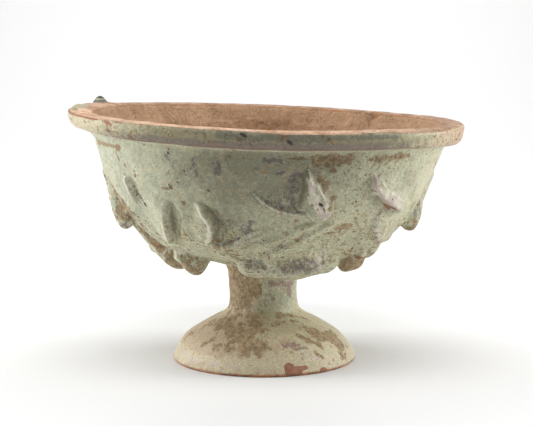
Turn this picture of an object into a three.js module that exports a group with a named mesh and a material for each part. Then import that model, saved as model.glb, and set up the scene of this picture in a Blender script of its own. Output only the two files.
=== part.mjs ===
// High-footed bowl of glazed earthenware: a deep bowl with a flat flanged rim on
// a hollow trumpet foot, its outer wall modelled by hand with overlapping hills.
// The whole vessel was fired as one piece of clay, so it is one closed solid.
// Millimetres, +Z up, the front faces -Y, the foot ring rests on z = 0.
import * as THREE from "three";

// ---- driving dimensions ----------------------------------------------------
const RIM_RADIUS = 150; // outer edge of the flanged rim
const RIM_HEIGHT = 188.3; // top face of the rim above the ground, at the axis
const RIM_WIDTH = 17.5; // flat top face of the rim
const RIM_CHAMFER = 1.4; // worn upper outer edge
const BAND_HEIGHT = 12.4; // outer face of the flange
const BAND_TAPER = 2.6; // the band's lower edge is this much further in
const FLANGE_ROOT = 15.6; // depth at which the flange meets the wall
const WALL = 8; // thickness of the bowl's wall
const FLOOR_DEPTH = 100; // inside floor below the rim
const BOWL_TILT = 0.0292; // radians, the bowl leans towards +X on its stem
const BOWL_SHIFT = 3.0; // the leaning bowl is set this far back over the stem
const STEM_TOP = 74; // height at which the stem enters the bowl
const STEM_BLEND = 42; // below this height the foot stands upright
const FOOT_WALL = 9.6; // width of the flat foot ring
const FOOT_BORE = 15; // radius of the hollow that runs up inside the stem
const BORE_TOP = 61; // height of the top of that hollow
const SEGMENTS = 90; // facets round the vessel
const SOFTEST = 5.2; // narrowest slope of the relief that the facets can carry
const CENTRE = [1.67, 0.0]; // middle of the vessel's footprint, moved to the origin

// The rim was warped by hand and in the kiln: height, lobes and direction.
const RIM_WARP = [
  [1.55, 2, 105],
  [0.66, 3, 85],
  [0.32, 5, -163],
];

// The front of the rim stands this much higher on its left than on its right.
const FRONT_WAVE = 2.3;
// Pressed in or out at both sides: place, width of the place, then inwards push
// of the wall with its depth and height, and outwards push of the rim.
const PINCHES = [
  { at: -86, width: 24, wall: 3.4, depth: -26, tall: 18, rim: 1.8, edge: 2.6 },
  { at: 84, width: 24, wall: 1.8, depth: -45, tall: 13, rim: -0.9, edge: -1.4 },
];
const FOOT_LEAN = 0.55; // the stem stands this much to the left on its foot

// Turned profiles as [radius, height]: the bowl's outside below its rim, and the
// foot and stem above the ground.
const BOWL_STATIONS = [
  [134.8, -FLANGE_ROOT],
  [133.0, -24],
  [127.5, -40],
  [117.5, -60],
  [104.0, -80],
  [86.5, -97],
  [66.0, -106],
  [47.0, -109.8],
  [30.0, -111.5],
];
const FOOT_STATIONS = [
  [70.8, 0],
  [70.1, 3.2],
  [65.5, 12],
  [58.6, 20],
  [46.2, 28],
  [33.2, 35],
  [27.6, 39.5],
  [26.1, 46],
  [25.9, 56],
  [27.2, 70],
];

// ---- relief ----------------------------------------------------------------
// Places on the wall are [degrees round from the front, depth below the rim].
// A crest is a hill's outline: a line of clay, steep on one side, soft on the
// other. `soft` and `sharp` are the widths of the two slopes; the soft one is on
// the side that `turn` gives. Beside the steep slope the wall is cut in by `cut`,
// over a width of `reach`.
const CRESTS = [
  { name: "left peak", line: [[-52.6, -40], [-51.2, -46], [-50.6, -52], [-49.6, -59]], high: 4.2, soft: 6, sharp: 3.6, turn: -1, cut: 0.6, reach: 3.5 },
  { name: "left long hill", line: [[-54.8, -54], [-58.4, -65], [-58, -74], [-54.6, -82], [-50.5, -91], [-46, -97]], high: 4.2, soft: 11, sharp: 3.2, turn: 1, cut: 1.6, reach: 5 },
  { name: "left fin", line: [[-35.4, -53], [-36.9, -62], [-39, -72.5], [-40.9, -82], [-43.8, -91]], high: 5.6, soft: 12, sharp: 1.7, turn: -1, cut: 3.6, reach: 7 },
  { name: "left fin, far slope", line: [[-33.4, -56], [-31.2, -61], [-31.4, -69], [-35, -80], [-40.5, -88]], high: 2.4, soft: 6, sharp: 2.4, turn: 1, cut: 0, reach: 3 },
  { name: "left fin, inner rib", line: [[-33.8, -64], [-35.4, -72], [-37.6, -80]], high: 1.3, soft: 1.8, sharp: 1.8, turn: 1, cut: 0, reach: 2 },
  { name: "curved lip", line: [[-23.8, -55.5], [-21.6, -59.5], [-19.7, -64], [-18.8, -68.5], [-18.8, -73], [-19.9, -79], [-22.5, -83.5], [-26.5, -87]], high: 5.8, soft: 14, sharp: 1.7, turn: -1, cut: 3.6, reach: 7 },
  { name: "curved lip, pocket", line: [[-21.8, -56], [-17.2, -57.5], [-15.2, -61.5], [-14.8, -67]], high: 1.9, soft: 5, sharp: 2, turn: 1, cut: 0, reach: 3 },
  { name: "leaf ledge", line: [[-27, -88], [-18.8, -86.4], [-11.2, -83.4], [-6.7, -78], [-3, -74.2], [2.4, -71.5]], high: 3.4, soft: 8, sharp: 1.7, turn: -1, cut: 0.9, reach: 14 },
  { name: "long hill", line: [[-14, -90], [-6, -86], [1, -82], [7.5, -76.8], [13.5, -71], [21.5, -64.5]], high: 2.7, soft: 6, sharp: 2.6, turn: -1, cut: 0.7, reach: 6 },
  { name: "lower hill", line: [[-9, -97], [-2, -93.5], [5.3, -88.7], [12.7, -82], [20.3, -73], [28, -66]], high: 2.4, soft: 6.5, sharp: 3.4, turn: -1, cut: 0.5, reach: 6 },
  { name: "great lip", line: [[-4.4, -43], [-3.4, -48], [-0.4, -53], [4.8, -57], [11, -60], [17, -61.5]], high: 2, soft: 9, sharp: 1.7, turn: -1, cut: 1.3, reach: 15 },
  { name: "great lip, side", line: [[11.6, -27], [12.2, -34], [12.6, -42], [12.4, -51], [11.4, -59]], high: 2.4, soft: 3, sharp: 1.6, turn: 1, cut: 5, reach: 17 },
  { name: "right crest", line: [[35, -32], [35.8, -40], [40.6, -48.5], [46.6, -55], [53.4, -60.6], [60, -64]], high: 5.6, soft: 12, sharp: 1.9, turn: 1, cut: 2.2, reach: 7 },
  { name: "right crest, inner slope", line: [[36.6, -33], [42, -39], [50, -47], [58, -56], [63, -64]], high: 1, soft: 2.4, sharp: 7, turn: -1, cut: 0.6, reach: 8 },
  { name: "right shoulder", line: [[66, -54], [70, -66], [68, -78]], high: 1.6, soft: 7, sharp: 5, turn: 1, cut: 0, reach: 3 },
  { name: "right low hill", line: [[38, -95], [45, -92], [53, -89], [60, -86]], high: 1.8, soft: 7, sharp: 1.6, turn: -1, cut: 0.8, reach: 4 },
  { name: "left low rib", line: [[-53, -60], [-50, -70], [-45, -77]], high: 0.8, soft: 3, sharp: 1.2, turn: 1, cut: 0, reach: 2 },
];
// A hollow is a groove pressed into the wall.
const HOLLOWS = [
  { name: "left side valley", line: [[-71.5, -54], [-66.5, -66], [-64, -79]], deep: 2.2, wide: 3.2 },
  { name: "great hollow, top", line: [[2, -40], [7, -48]], deep: 1.4, wide: 9 },
  { name: "right hollow", line: [[48, -36], [58, -50]], deep: 1.6, wide: 13 },
  { name: "leaf hollow", line: [[-15, -75], [-12, -68]], deep: 1.2, wide: 9 },
  { name: "drip hole", line: [[17.2, -49.6], [17.9, -50.6]], deep: 2.4, wide: 1.3 },
  { name: "hill valley", line: [[30, -68], [40, -82]], deep: 1, wide: 8 },
  { name: "under hollow", line: [[-30, -104.5], [-13, -106.5]], deep: 4.4, wide: 9 },
];
// A knob is a drop of clay that hangs from the wall: from a thin top to a thick
// round end, with the radius and height of both ends and the droop of the end;
// `flat` is 1 for a round back and more for a flatter one.
const KNOBS = [
  { name: "left side", from: [-80, -45], to: [-73.8, -74], radius: [3, 9.8], high: [1.2, 9.8], droop: 6, flat: 1 },
  { name: "great peak", from: [12.6, -31], to: [18.2, -56], radius: [1.4, 9.4], high: [3.4, 6], droop: 2, flat: 2.4 },
  { name: "right side", from: [76.5, -50], to: [77.5, -70.5], radius: [4.5, 9.6], high: [1.4, 9.2], droop: 5, flat: 1 },
  { name: "right block", from: [46.4, -66], to: [51.5, -77.5], radius: [5.5, 8.2], high: [2.6, 4.8], droop: 2, flat: 1.8 },
  { name: "under left", from: [-48, -100], to: [-45.2, -104.6], radius: [7.5, 9], high: [8, 13], droop: 1, flat: 1.5 },
  { name: "under far left", from: [-66, -96], to: [-57, -102.5], radius: [7, 10.5], high: [7, 12], droop: 1, flat: 1.5 },
  { name: "left side, lower", from: [-72, -80], to: [-63, -95], radius: [7, 8], high: [2.4, 5.6], droop: 1, flat: 1.5 },
  { name: "under front", from: [-6, -103], to: [19, -103], radius: [11.5, 11.5], high: [9.5, 10.5], droop: 1, flat: 2 },
  { name: "under front right", from: [18, -102.5], to: [34, -101], radius: [11, 10.5], high: [10.5, 8.6], droop: 1.5, flat: 1.7 },
  { name: "under front left", from: [-12, -102], to: [-4, -103.5], radius: [5.5, 10.5], high: [1.8, 9.5], droop: 1, flat: 1.4 },
  { name: "front right drop", from: [20, -91.5], to: [25, -100], radius: [4, 8], high: [2, 8.2], droop: 1, flat: 1.8 },
  { name: "front drop", from: [1, -92], to: [3, -98], radius: [3, 5], high: [2, 4.5], droop: 1, flat: 1.2 },
  { name: "under right", from: [54, -98], to: [56.5, -102], radius: [8, 11], high: [5, 9], droop: 1, flat: 1.8 },
  { name: "right low drop", from: [59, -84], to: [61, -95], radius: [6, 7], high: [1.8, 4.5], droop: 1, flat: 1.2 },
];
// The far side carries plainer hills of the same kind, a group every BACK_STEP.
const BACK_FROM = 97;
const BACK_STEP = 28;
const BACK_GROUPS = 6;
for (let k = 0; k < BACK_GROUPS; k++) {
  const at = BACK_FROM + BACK_STEP * k;
  const sway = Math.sin(2.3 * k + 0.6);
  const lift = 5 * Math.sin(1.7 * k + 1.1);
  CRESTS.push({
    name: "back hill " + k,
    line: [[at - 3 + 2 * sway, -40 + lift], [at - 5, -54 + lift], [at - 6 - 2 * sway, -68 + lift], [at - 10 - 3 * sway, -82 + lift]],
    high: 4.6, soft: 11, sharp: 2, turn: -1, cut: 2.8, reach: 7,
  });
  KNOBS.push({ name: "back knob " + k, from: [at + 11, -50 + 6 * sway], to: [at + 11 - 4 * sway, -76 + 6 * sway], radius: [3, 8], high: [1.5, 7.5], droop: 5, flat: 1.2 });
  CRESTS.push({ name: "back long hill " + k, line: [[at - 14, -92], [at - 2, -88 + lift / 2], [at + 10, -80 + lift / 2]], high: 2.8, soft: 7, sharp: 2.6, turn: -1, cut: 1.2, reach: 5 });
  KNOBS.push({ name: "back under " + k, from: [at - 4 + 3 * sway, -99], to: [at - 3, -104], radius: [7, 10], high: [3, 9], droop: 1, flat: 1.5 });
}
// A drop of thick glaze fused to the far left of the rim.
const BEAD = { at: -112.3, radius: 145, wide: 5, high: 5.5 };

// ---- helpers ---------------------------------------------------------------
const RAD = Math.PI / 180;
const clamp = (x, a, b) => Math.min(b, Math.max(a, x));
const smooth = (t) => t * t * (3 - 2 * t);

// A turned profile: a smooth curve through its stations, measured along itself.
class Profile {
  constructor(stations, steps = 600) {
    const curve = new THREE.SplineCurve(stations.map(([r, z]) => new THREE.Vector2(r, z)));
    this.points = curve.getPoints(steps);
    this.s = [0];
    for (let i = 1; i <= steps; i++) this.s.push(this.s[i - 1] + this.points[i].distanceTo(this.points[i - 1]));
    this.length = this.s[steps];
  }
  find(key, value, rising) {
    let a = 0;
    let b = this.points.length - 1;
    while (b - a > 1) {
      const m = (a + b) >> 1;
      if (rising ? key(m) <= value : key(m) >= value) a = m;
      else b = m;
    }
    const t = clamp((value - key(a)) / (key(b) - key(a) || 1), 0, 1);
    return this.points[a].clone().lerp(this.points[b], t);
  }
  atLength(s) {
    return this.find((i) => this.s[i], s, true);
  }
  atDepth(z) {
    return this.find((i) => this.points[i].y, z, false);
  }
}
const bowl = new Profile(BOWL_STATIONS);
const foot = new Profile(FOOT_STATIONS);

function turned(phi, r, z) {
  return new THREE.Vector3(r * Math.sin(phi), -r * Math.cos(phi), z);
}
function onWall([degrees, depth]) {
  const p = bowl.atDepth(depth);
  return turned(degrees * RAD, p.x, p.y);
}
// A line of places becomes a smooth line of points on the wall.
function lineOnWall(places) {
  const spline = new THREE.SplineCurve(places.map(([a, z]) => new THREE.Vector2(a, z)));
  const n = places.length > 2 ? 18 : 8;
  return spline.getPoints(n).map((p) => onWall([p.x, p.y]));
}
for (const f of [...CRESTS, ...HOLLOWS]) f.points = lineOnWall(f.line);
for (const f of KNOBS) f.points = lineOnWall([f.from, f.to]);

// Nearest point of a line: distance, place along it from 0 to 1, and the side.
function nearest(points, p, normal) {
  let best = { d: Infinity, t: 0, side: 1 };
  const seg = new THREE.Vector3();
  const rel = new THREE.Vector3();
  for (let i = 0; i + 1 < points.length; i++) {
    seg.subVectors(points[i + 1], points[i]);
    rel.subVectors(p, points[i]);
    const t = clamp(rel.dot(seg) / seg.lengthSq(), 0, 1);
    const off = rel.clone().addScaledVector(seg, -t);
    const d = off.length();
    if (d < best.d) best = { d, t: (i + t) / (points.length - 1), side: seg.clone().cross(off).dot(normal) >= 0 ? 1 : -1 };
  }
  return best;
}
// Height of the relief over the turned wall, and how far it sags downwards.
function relief(p, normal) {
  let rise = 0;
  let cutting = 0;
  let knob = 0;
  let sag = 0;
  for (const c of CRESTS) {
    const { d, t, side } = nearest(c.points, p, normal);
    const ends = smooth(clamp(Math.min(t * 5, (1 - t) * 6), 0, 1));
    const lens = Math.max(0, Math.sin(Math.PI * t)) ** 0.7;
    if (side === c.turn) rise = Math.max(rise, c.high * Math.exp(-((d / Math.max(SOFTEST, c.soft)) ** 1.5)) * ends);
    else {
      const drop = smooth(clamp(d / Math.max(SOFTEST, c.sharp), 0, 1));
      const far = Math.max(d - SOFTEST, 0) / (c.reach * (0.3 + 0.7 * lens));
      rise = Math.max(rise, c.high * (1 - drop) * ends);
      cutting = Math.max(cutting, c.cut * drop * Math.exp(-far * far) * lens);
    }
  }
  let h = rise - cutting;
  for (const c of HOLLOWS) {
    const { d } = nearest(c.points, p, normal);
    if (c.wide > 2 && d < 3 * c.wide) h -= c.deep * Math.exp(-((d / c.wide) ** 2));
  }
  for (const k of KNOBS) {
    const { d, t } = nearest(k.points, p, normal);
    const r = Math.max(SOFTEST, k.radius[0] + (k.radius[1] - k.radius[0]) * t);
    if (d < r) {
      const body = (1 - (d / r) ** (2 * k.flat)) ** 0.7;
      knob = Math.max(knob, (k.high[0] + (k.high[1] - k.high[0]) * smooth(t)) * body);
      sag = Math.max(sag, k.droop * body * t);
    }
  }
  h += knob;
  return [h, sag];
}
const lumps = (phi, z) =>
  0.45 * Math.sin(3 * phi + 0.05 * z + 0.4) + 0.35 * Math.sin(5 * phi - 0.07 * z + 2.1) + 0.25 * Math.sin(8 * phi + 0.11 * z + 4.0);
const frontWave = (phi) => -FRONT_WAVE * Math.sin(2 * phi) * smooth(clamp(Math.cos(phi) / 0.4, 0, 1));
const warp = (phi) => RIM_WARP.reduce((sum, [high, lobes, at]) => sum + high * Math.cos(lobes * phi - at * RAD), 0);

// ---- the turned body, row by row, from the inside floor to the foot's hollow
const rows = [];
const row = (r, z, zone, normal = null) => rows.push({ r, z, zone, normal });

row(0, -FLOOR_DEPTH, "bowl");
const INSIDE_ROWS = 8;
const insideFloor = Math.sqrt(WALL); // rows crowd towards the curve of the floor
for (let i = 1; i < INSIDE_ROWS; i++) {
  const s = bowl.length * (1 - i / INSIDE_ROWS) * 0.93;
  const p = bowl.atLength(s);
  const q = bowl.atLength(s + 1);
  const t = new THREE.Vector2().subVectors(q, p).normalize();
  const thick = WALL + insideFloor * smooth(clamp((s / bowl.length - 0.6) / 0.4, 0, 1));
  row(p.x + t.y * thick, Math.max(p.y - t.x * thick, -FLOOR_DEPTH + 0.4 * i), "bowl");
}
row(RIM_RADIUS - RIM_WIDTH - 2.4, -5.5, "rim");
row(RIM_RADIUS - RIM_WIDTH, -0.6, "rim");
row(RIM_RADIUS - RIM_WIDTH + 2, 0, "rim");
row(BEAD.radius, 0, "rim");
row(RIM_RADIUS - RIM_CHAMFER, 0, "rim");
row(RIM_RADIUS, -RIM_CHAMFER, "rim");
row(RIM_RADIUS - BAND_TAPER * 0.4, -BAND_HEIGHT * 0.7, "rim");
row(RIM_RADIUS - BAND_TAPER, -BAND_HEIGHT, "rim");
const WALL_ROWS = 19;
for (let i = 0; i <= WALL_ROWS; i++) {
  const s = (bowl.length * i) / WALL_ROWS;
  const p = bowl.atLength(Math.max(0, s - 0.5));
  const q = bowl.atLength(Math.min(bowl.length, s + 0.5));
  const t = new THREE.Vector2().subVectors(q, p).normalize();
  const here = bowl.atLength(s);
  row(here.x, here.y, "wall", new THREE.Vector2(-t.y, t.x));
}
const FOOT_ROWS = 13;
for (let i = 1; i <= FOOT_ROWS; i++) {
  const p = foot.atLength(foot.length * (1 - i / FOOT_ROWS) ** 1.05);
  row(p.x, p.y, "foot");
}
const flat = foot.points[0].x - FOOT_WALL;
row(flat, 0, "foot");
const hollow = [[flat - 3.5, 9], [flat - 12, 19], [flat - 27, 27], [FOOT_BORE + 3, 34], [FOOT_BORE, 44], [FOOT_BORE - 2, BORE_TOP - 3]];
for (const [r, z] of hollow) row(r, z, "foot");
row(0, BORE_TOP, "foot");
rows.reverse(); // from the foot upwards, so that the turned faces look outwards

const geometry = new THREE.LatheGeometry(rows.map(({ r, z }) => new THREE.Vector2(r, z)), SEGMENTS);
geometry.rotateX(Math.PI / 2); // the lathe turns about Y, the vessel stands on Z
geometry.deleteAttribute("normal");
geometry.deleteAttribute("uv");

// ---- shape every point of the turned body ----------------------------------
const position = geometry.getAttribute("position");
const cosTilt = Math.cos(BOWL_TILT);
const sinTilt = Math.sin(BOWL_TILT);
const p = new THREE.Vector3();
for (let i = 0; i < position.count; i++) {
  const { r, z, zone, normal } = rows[i % rows.length];
  p.fromBufferAttribute(position, i);
  const phi = r > 0 ? Math.atan2(p.x, -p.y) : 0;
  if (zone === "wall") {
    const n = turned(phi, normal.x, normal.y);
    const down = turned(phi, normal.y, -normal.x);
    const fade = smooth(clamp((z + FLANGE_ROOT) / -8, 0, 1)) * smooth(clamp((r - 31) / 12, 0, 1));
    const [h, sag] = relief(p, n);
    p.addScaledVector(n, fade * (h + lumps(phi, z)));
    p.addScaledVector(down, fade * sag);
  }
  if (zone === "rim" && r > RIM_RADIUS - 12 && z > -1) {
    const bead = turned(BEAD.at * RAD, BEAD.radius, 0);
    const d = Math.hypot(p.x - bead.x, p.y - bead.y) / BEAD.wide;
    p.z += BEAD.high * Math.exp(-d * d);
  }
  for (const q of PINCHES) {
    const near = Math.exp(-(((phi / RAD - q.at) / q.width) ** 2));
    let out = 0;
    if (zone === "wall") out = -q.wall * near * Math.exp(-(((z - q.depth) / q.tall) ** 2));
    if (zone === "rim" && r > RIM_RADIUS - 12) {
      out = q.rim * near * smooth(clamp((r - RIM_RADIUS + 12) / 8, 0, 1));
      p.z += q.edge * near * smooth(clamp((-3 - z) / 6, 0, 1));
    }
    p.x += out * Math.sin(phi);
    p.y -= out * Math.cos(phi);
  }
  if (zone === "foot") {
    if (r > 20) p.x -= FOOT_LEAN * smooth(clamp((z - 10) / 10, 0, 1));
    // the upright foot turns into the leaning bowl along the stem
    if (z > STEM_BLEND && r > 20) {
      const k = smooth(clamp((z - STEM_BLEND) / (STEM_TOP - STEM_BLEND), 0, 1));
      const zb = z - RIM_HEIGHT;
      p.set(
        p.x + k * (p.x * (cosTilt - 1) + zb * sinTilt + BOWL_SHIFT),
        p.y,
        p.z + k * (-p.x * sinTilt + zb * (cosTilt - 1)),
      );
    }
  } else {
    const raised = p.z + warp(phi) * smooth(clamp(1 + z / 90, 0, 1)) + frontWave(phi) * smooth(clamp(1 + (z + 12) / 45, 0, 1));
    p.set(p.x * cosTilt + raised * sinTilt + BOWL_SHIFT, p.y, -p.x * sinTilt + raised * cosTilt + RIM_HEIGHT);
  }
  position.setXYZ(i, p.x - CENTRE[0], p.y - CENTRE[1], p.z);
}
geometry.computeVertexNormals();

const clay = new THREE.MeshStandardMaterial({ color: 0xa8a98f, roughness: 0.72, metalness: 0 });
const vessel = new THREE.Mesh(geometry, clay);
vessel.name = "footed_bowl";

const group = new THREE.Group();
group.add(vessel);
export default group;
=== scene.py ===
import math

import bpy
import numpy as np
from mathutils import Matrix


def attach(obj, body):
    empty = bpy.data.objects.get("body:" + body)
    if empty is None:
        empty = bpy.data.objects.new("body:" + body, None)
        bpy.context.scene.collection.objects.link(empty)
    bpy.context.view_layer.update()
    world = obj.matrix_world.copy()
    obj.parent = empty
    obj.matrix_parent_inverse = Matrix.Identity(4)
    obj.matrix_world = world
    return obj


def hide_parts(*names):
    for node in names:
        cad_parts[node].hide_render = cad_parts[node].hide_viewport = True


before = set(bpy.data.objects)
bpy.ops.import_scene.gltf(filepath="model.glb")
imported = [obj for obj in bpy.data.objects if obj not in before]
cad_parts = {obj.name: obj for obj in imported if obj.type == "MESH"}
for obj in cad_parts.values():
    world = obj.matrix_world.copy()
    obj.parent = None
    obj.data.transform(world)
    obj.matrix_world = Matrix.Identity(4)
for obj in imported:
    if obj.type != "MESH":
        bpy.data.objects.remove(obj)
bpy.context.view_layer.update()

# ---------------------------------------------------------------------------
# driving sizes, millimetres, the same as the solid's
# ---------------------------------------------------------------------------
RIM_RADIUS = 150.0
RIM_HEIGHT = 188.3
RIM_WIDTH = 17.5
BAND_HEIGHT = 12.4
FLANGE_ROOT = 15.6
WALL = 8.0
FLOOR_DEPTH = 100.0
BOWL_TILT = 0.0292
BOWL_SHIFT = 3.0
STEM_TOP = 74.0
STEM_BLEND = 42.0
FOOT_WALL = 9.6
FOOT_BORE = 15.0
BORE_TOP = 61.0
CENTRE = (1.67, 0.0)
FRONT_WAVE = 2.3     # the front of the rim stands higher on the left than on the right
RIM_WARP = [(1.55, 2, 105), (0.66, 3, 85), (0.32, 5, -163)]
BOWL_STATIONS = [(134.8, -FLANGE_ROOT), (133.0, -24), (127.5, -40), (117.5, -60), (104.0, -80),
                 (86.5, -97), (66.0, -106), (47.0, -109.8), (30.0, -111.5)]
FOOT_STATIONS = [(70.8, 0), (70.1, 3.2), (65.5, 12), (58.6, 20), (46.2, 28), (33.2, 35), (27.6, 39.5),
                 (26.1, 46), (25.9, 56), (27.2, 70)]

ROUND = 480          # steps round the wall and the rim
ROUND_IN = 240       # steps round the inside, the stem and the foot
ROUND_UNDER = 120    # steps round the hollow under the foot
CROWD = 0.30         # the steps crowd towards the carved front by this much

RAD = math.pi / 180

# ---------------------------------------------------------------------------
# relief: places are (degrees from the front, depth below the rim)
# ---------------------------------------------------------------------------
# line, height, width of the gentle side, width of the steep side, gentle side (-1 left, 1 right going
# down the line), depth cut below the steep side, width of that cut
CRESTS = [
    ([(-52.6, -40), (-51.2, -46), (-50.6, -52), (-49.6, -59)], 4.2, 6, 3.6, -1, 0.6, 3.5),
    ([(-54.8, -54), (-58.4, -65), (-58.0, -74), (-54.6, -82), (-50.5, -91), (-46, -97)], 4.2, 11, 3.2, 1, 1.6, 5),
    ([(-35.4, -53), (-36.9, -62), (-39.0, -72.5), (-40.9, -82), (-43.8, -91)], 5.6, 12, 1.7, -1, 3.6, 7.0),
    ([(-33.4, -56), (-31.2, -61), (-31.4, -69), (-35.0, -80), (-40.5, -88)], 2.4, 6.0, 2.4, 1, 0, 3),
    ([(-33.8, -64), (-35.4, -72), (-37.6, -80)], 1.3, 1.8, 1.8, 1, 0, 2),
    ([(-23.8, -55.5), (-21.6, -59.5), (-19.7, -64), (-18.8, -68.5), (-18.8, -73), (-19.9, -79), (-22.5, -83.5), (-26.5, -87)], 5.8, 14, 1.7, -1, 3.6, 7.0),
    ([(-21.8, -56), (-17.2, -57.5), (-15.2, -61.5), (-14.8, -67)], 1.9, 5, 2.0, 1, 0, 3),
    ([(-27, -88), (-18.8, -86.4), (-11.2, -83.4), (-6.7, -78), (-3.0, -74.2), (2.4, -71.5)], 3.4, 8, 1.7, -1, 0.9, 14),
    ([(-14, -90), (-6.0, -86), (1.0, -82), (7.5, -76.8), (13.5, -71), (21.5, -64.5)], 2.7, 6.0, 2.6, -1, 0.7, 6),
    ([(-9, -97), (-2, -93.5), (5.3, -88.7), (12.7, -82), (20.3, -73), (28, -66)], 2.4, 6.5, 3.4, -1, 0.5, 6),
    ([(-4.4, -43), (-3.4, -48), (-0.4, -53), (4.8, -57), (11.0, -60), (17, -61.5)], 2.0, 9, 1.7, -1, 1.3, 15),
    ([(11.6, -27), (12.2, -34), (12.6, -42), (12.4, -51), (11.4, -59)], 2.4, 3, 1.6, 1, 5.0, 17),
    ([(35.0, -32), (35.8, -40), (40.6, -48.5), (46.6, -55), (53.4, -60.6), (60, -64)], 5.6, 12, 1.9, 1, 2.2, 7),
    ([(36.6, -33), (42, -39), (50, -47), (58, -56), (63, -64)], 1.0, 2.4, 7.0, -1, 0.6, 8),
    ([(66, -54), (70, -66), (68, -78)], 1.6, 7, 5, 1, 0, 3),
    ([(38, -95), (45, -92), (53, -89), (60, -86)], 1.8, 7, 1.6, -1, 0.8, 4),
    ([(-53, -60), (-50, -70), (-45, -77)], 0.8, 3, 1.2, 1, 0, 2),
]
# line, depth, width
HOLLOWS = [
    ([(-71.5, -54), (-66.5, -66), (-64.0, -79)], 2.2, 3.2),
    ([(2, -40), (7, -48)], 1.4, 9),
    ([(48, -36), (58, -50)], 1.6, 13),
    ([(-15, -75), (-12, -68)], 1.2, 9),
    ([(17.2, -49.6), (17.9, -50.6)], 2.4, 1.3),
    ([(30, -68), (40, -82)], 1.0, 8),
    ([(-30, -104.5), (-13, -106.5)], 4.4, 9),
]
# from, to, radius at both ends, height at both ends, droop, flatness
KNOBS = [
    ((-80, -45), (-73.8, -74.0), (3.0, 9.8), (1.2, 9.8), 6, 1),
    ((12.6, -31), (18.2, -56.0), (1.4, 9.4), (3.4, 6.0), 2, 2.4),
    ((76.5, -50), (77.5, -70.5), (4.5, 9.6), (1.4, 9.2), 5, 1),
    ((46.4, -66), (51.5, -77.5), (5.5, 8.2), (2.6, 4.8), 2, 1.8),
    ((-48, -100), (-45.2, -104.6), (7.5, 9.0), (8.0, 13.0), 1, 1.5),
    ((-66, -96), (-57.0, -102.5), (7, 10.5), (7.0, 12.0), 1, 1.5),
    ((-72, -80), (-63, -95), (7, 8), (2.4, 5.6), 1, 1.5),
    ((-6, -103), (19, -103), (11.5, 11.5), (9.5, 10.5), 1, 2),
    ((18, -102.5), (34, -101), (11.0, 10.5), (10.5, 8.6), 1.5, 1.7),
    ((-12, -102), (-4, -103.5), (5.5, 10.5), (1.8, 9.5), 1, 1.4),
    ((20, -91.5), (25, -100), (4.0, 8.0), (2.0, 8.2), 1, 1.8),
    ((1.0, -92), (3.0, -98), (3.0, 5.0), (2.0, 4.5), 1, 1.2),
    ((54, -98), (56.5, -102), (8, 11.0), (5, 9.0), 1, 1.8),
    ((59, -84), (61, -95), (6, 7), (1.8, 4.5), 1, 1.2),
]
BACK_FROM, BACK_STEP, BACK_GROUPS = 97, 28, 6
for k in range(BACK_GROUPS):
    at = BACK_FROM + BACK_STEP * k
    sway = math.sin(2.3 * k + 0.6)
    lift = 5 * math.sin(1.7 * k + 1.1)
    CRESTS.append(([(at - 3 + 2 * sway, -40 + lift), (at - 5, -54 + lift), (at - 6 - 2 * sway, -68 + lift),
                    (at - 10 - 3 * sway, -82 + lift)], 4.6, 11, 2.0, -1, 2.8, 7))
    KNOBS.append(((at + 11, -50 + 6 * sway), (at + 11 - 4 * sway, -76 + 6 * sway), (3, 8), (1.5, 7.5), 5, 1.2))
    CRESTS.append(([(at - 14, -92), (at - 2, -88 + lift / 2), (at + 10, -80 + lift / 2)], 2.8, 7, 2.6, -1, 1.2, 5))
    KNOBS.append(((at - 4 + 3 * sway, -99), (at - 3, -104), (7, 10), (3, 9), 1, 1.5))


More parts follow.
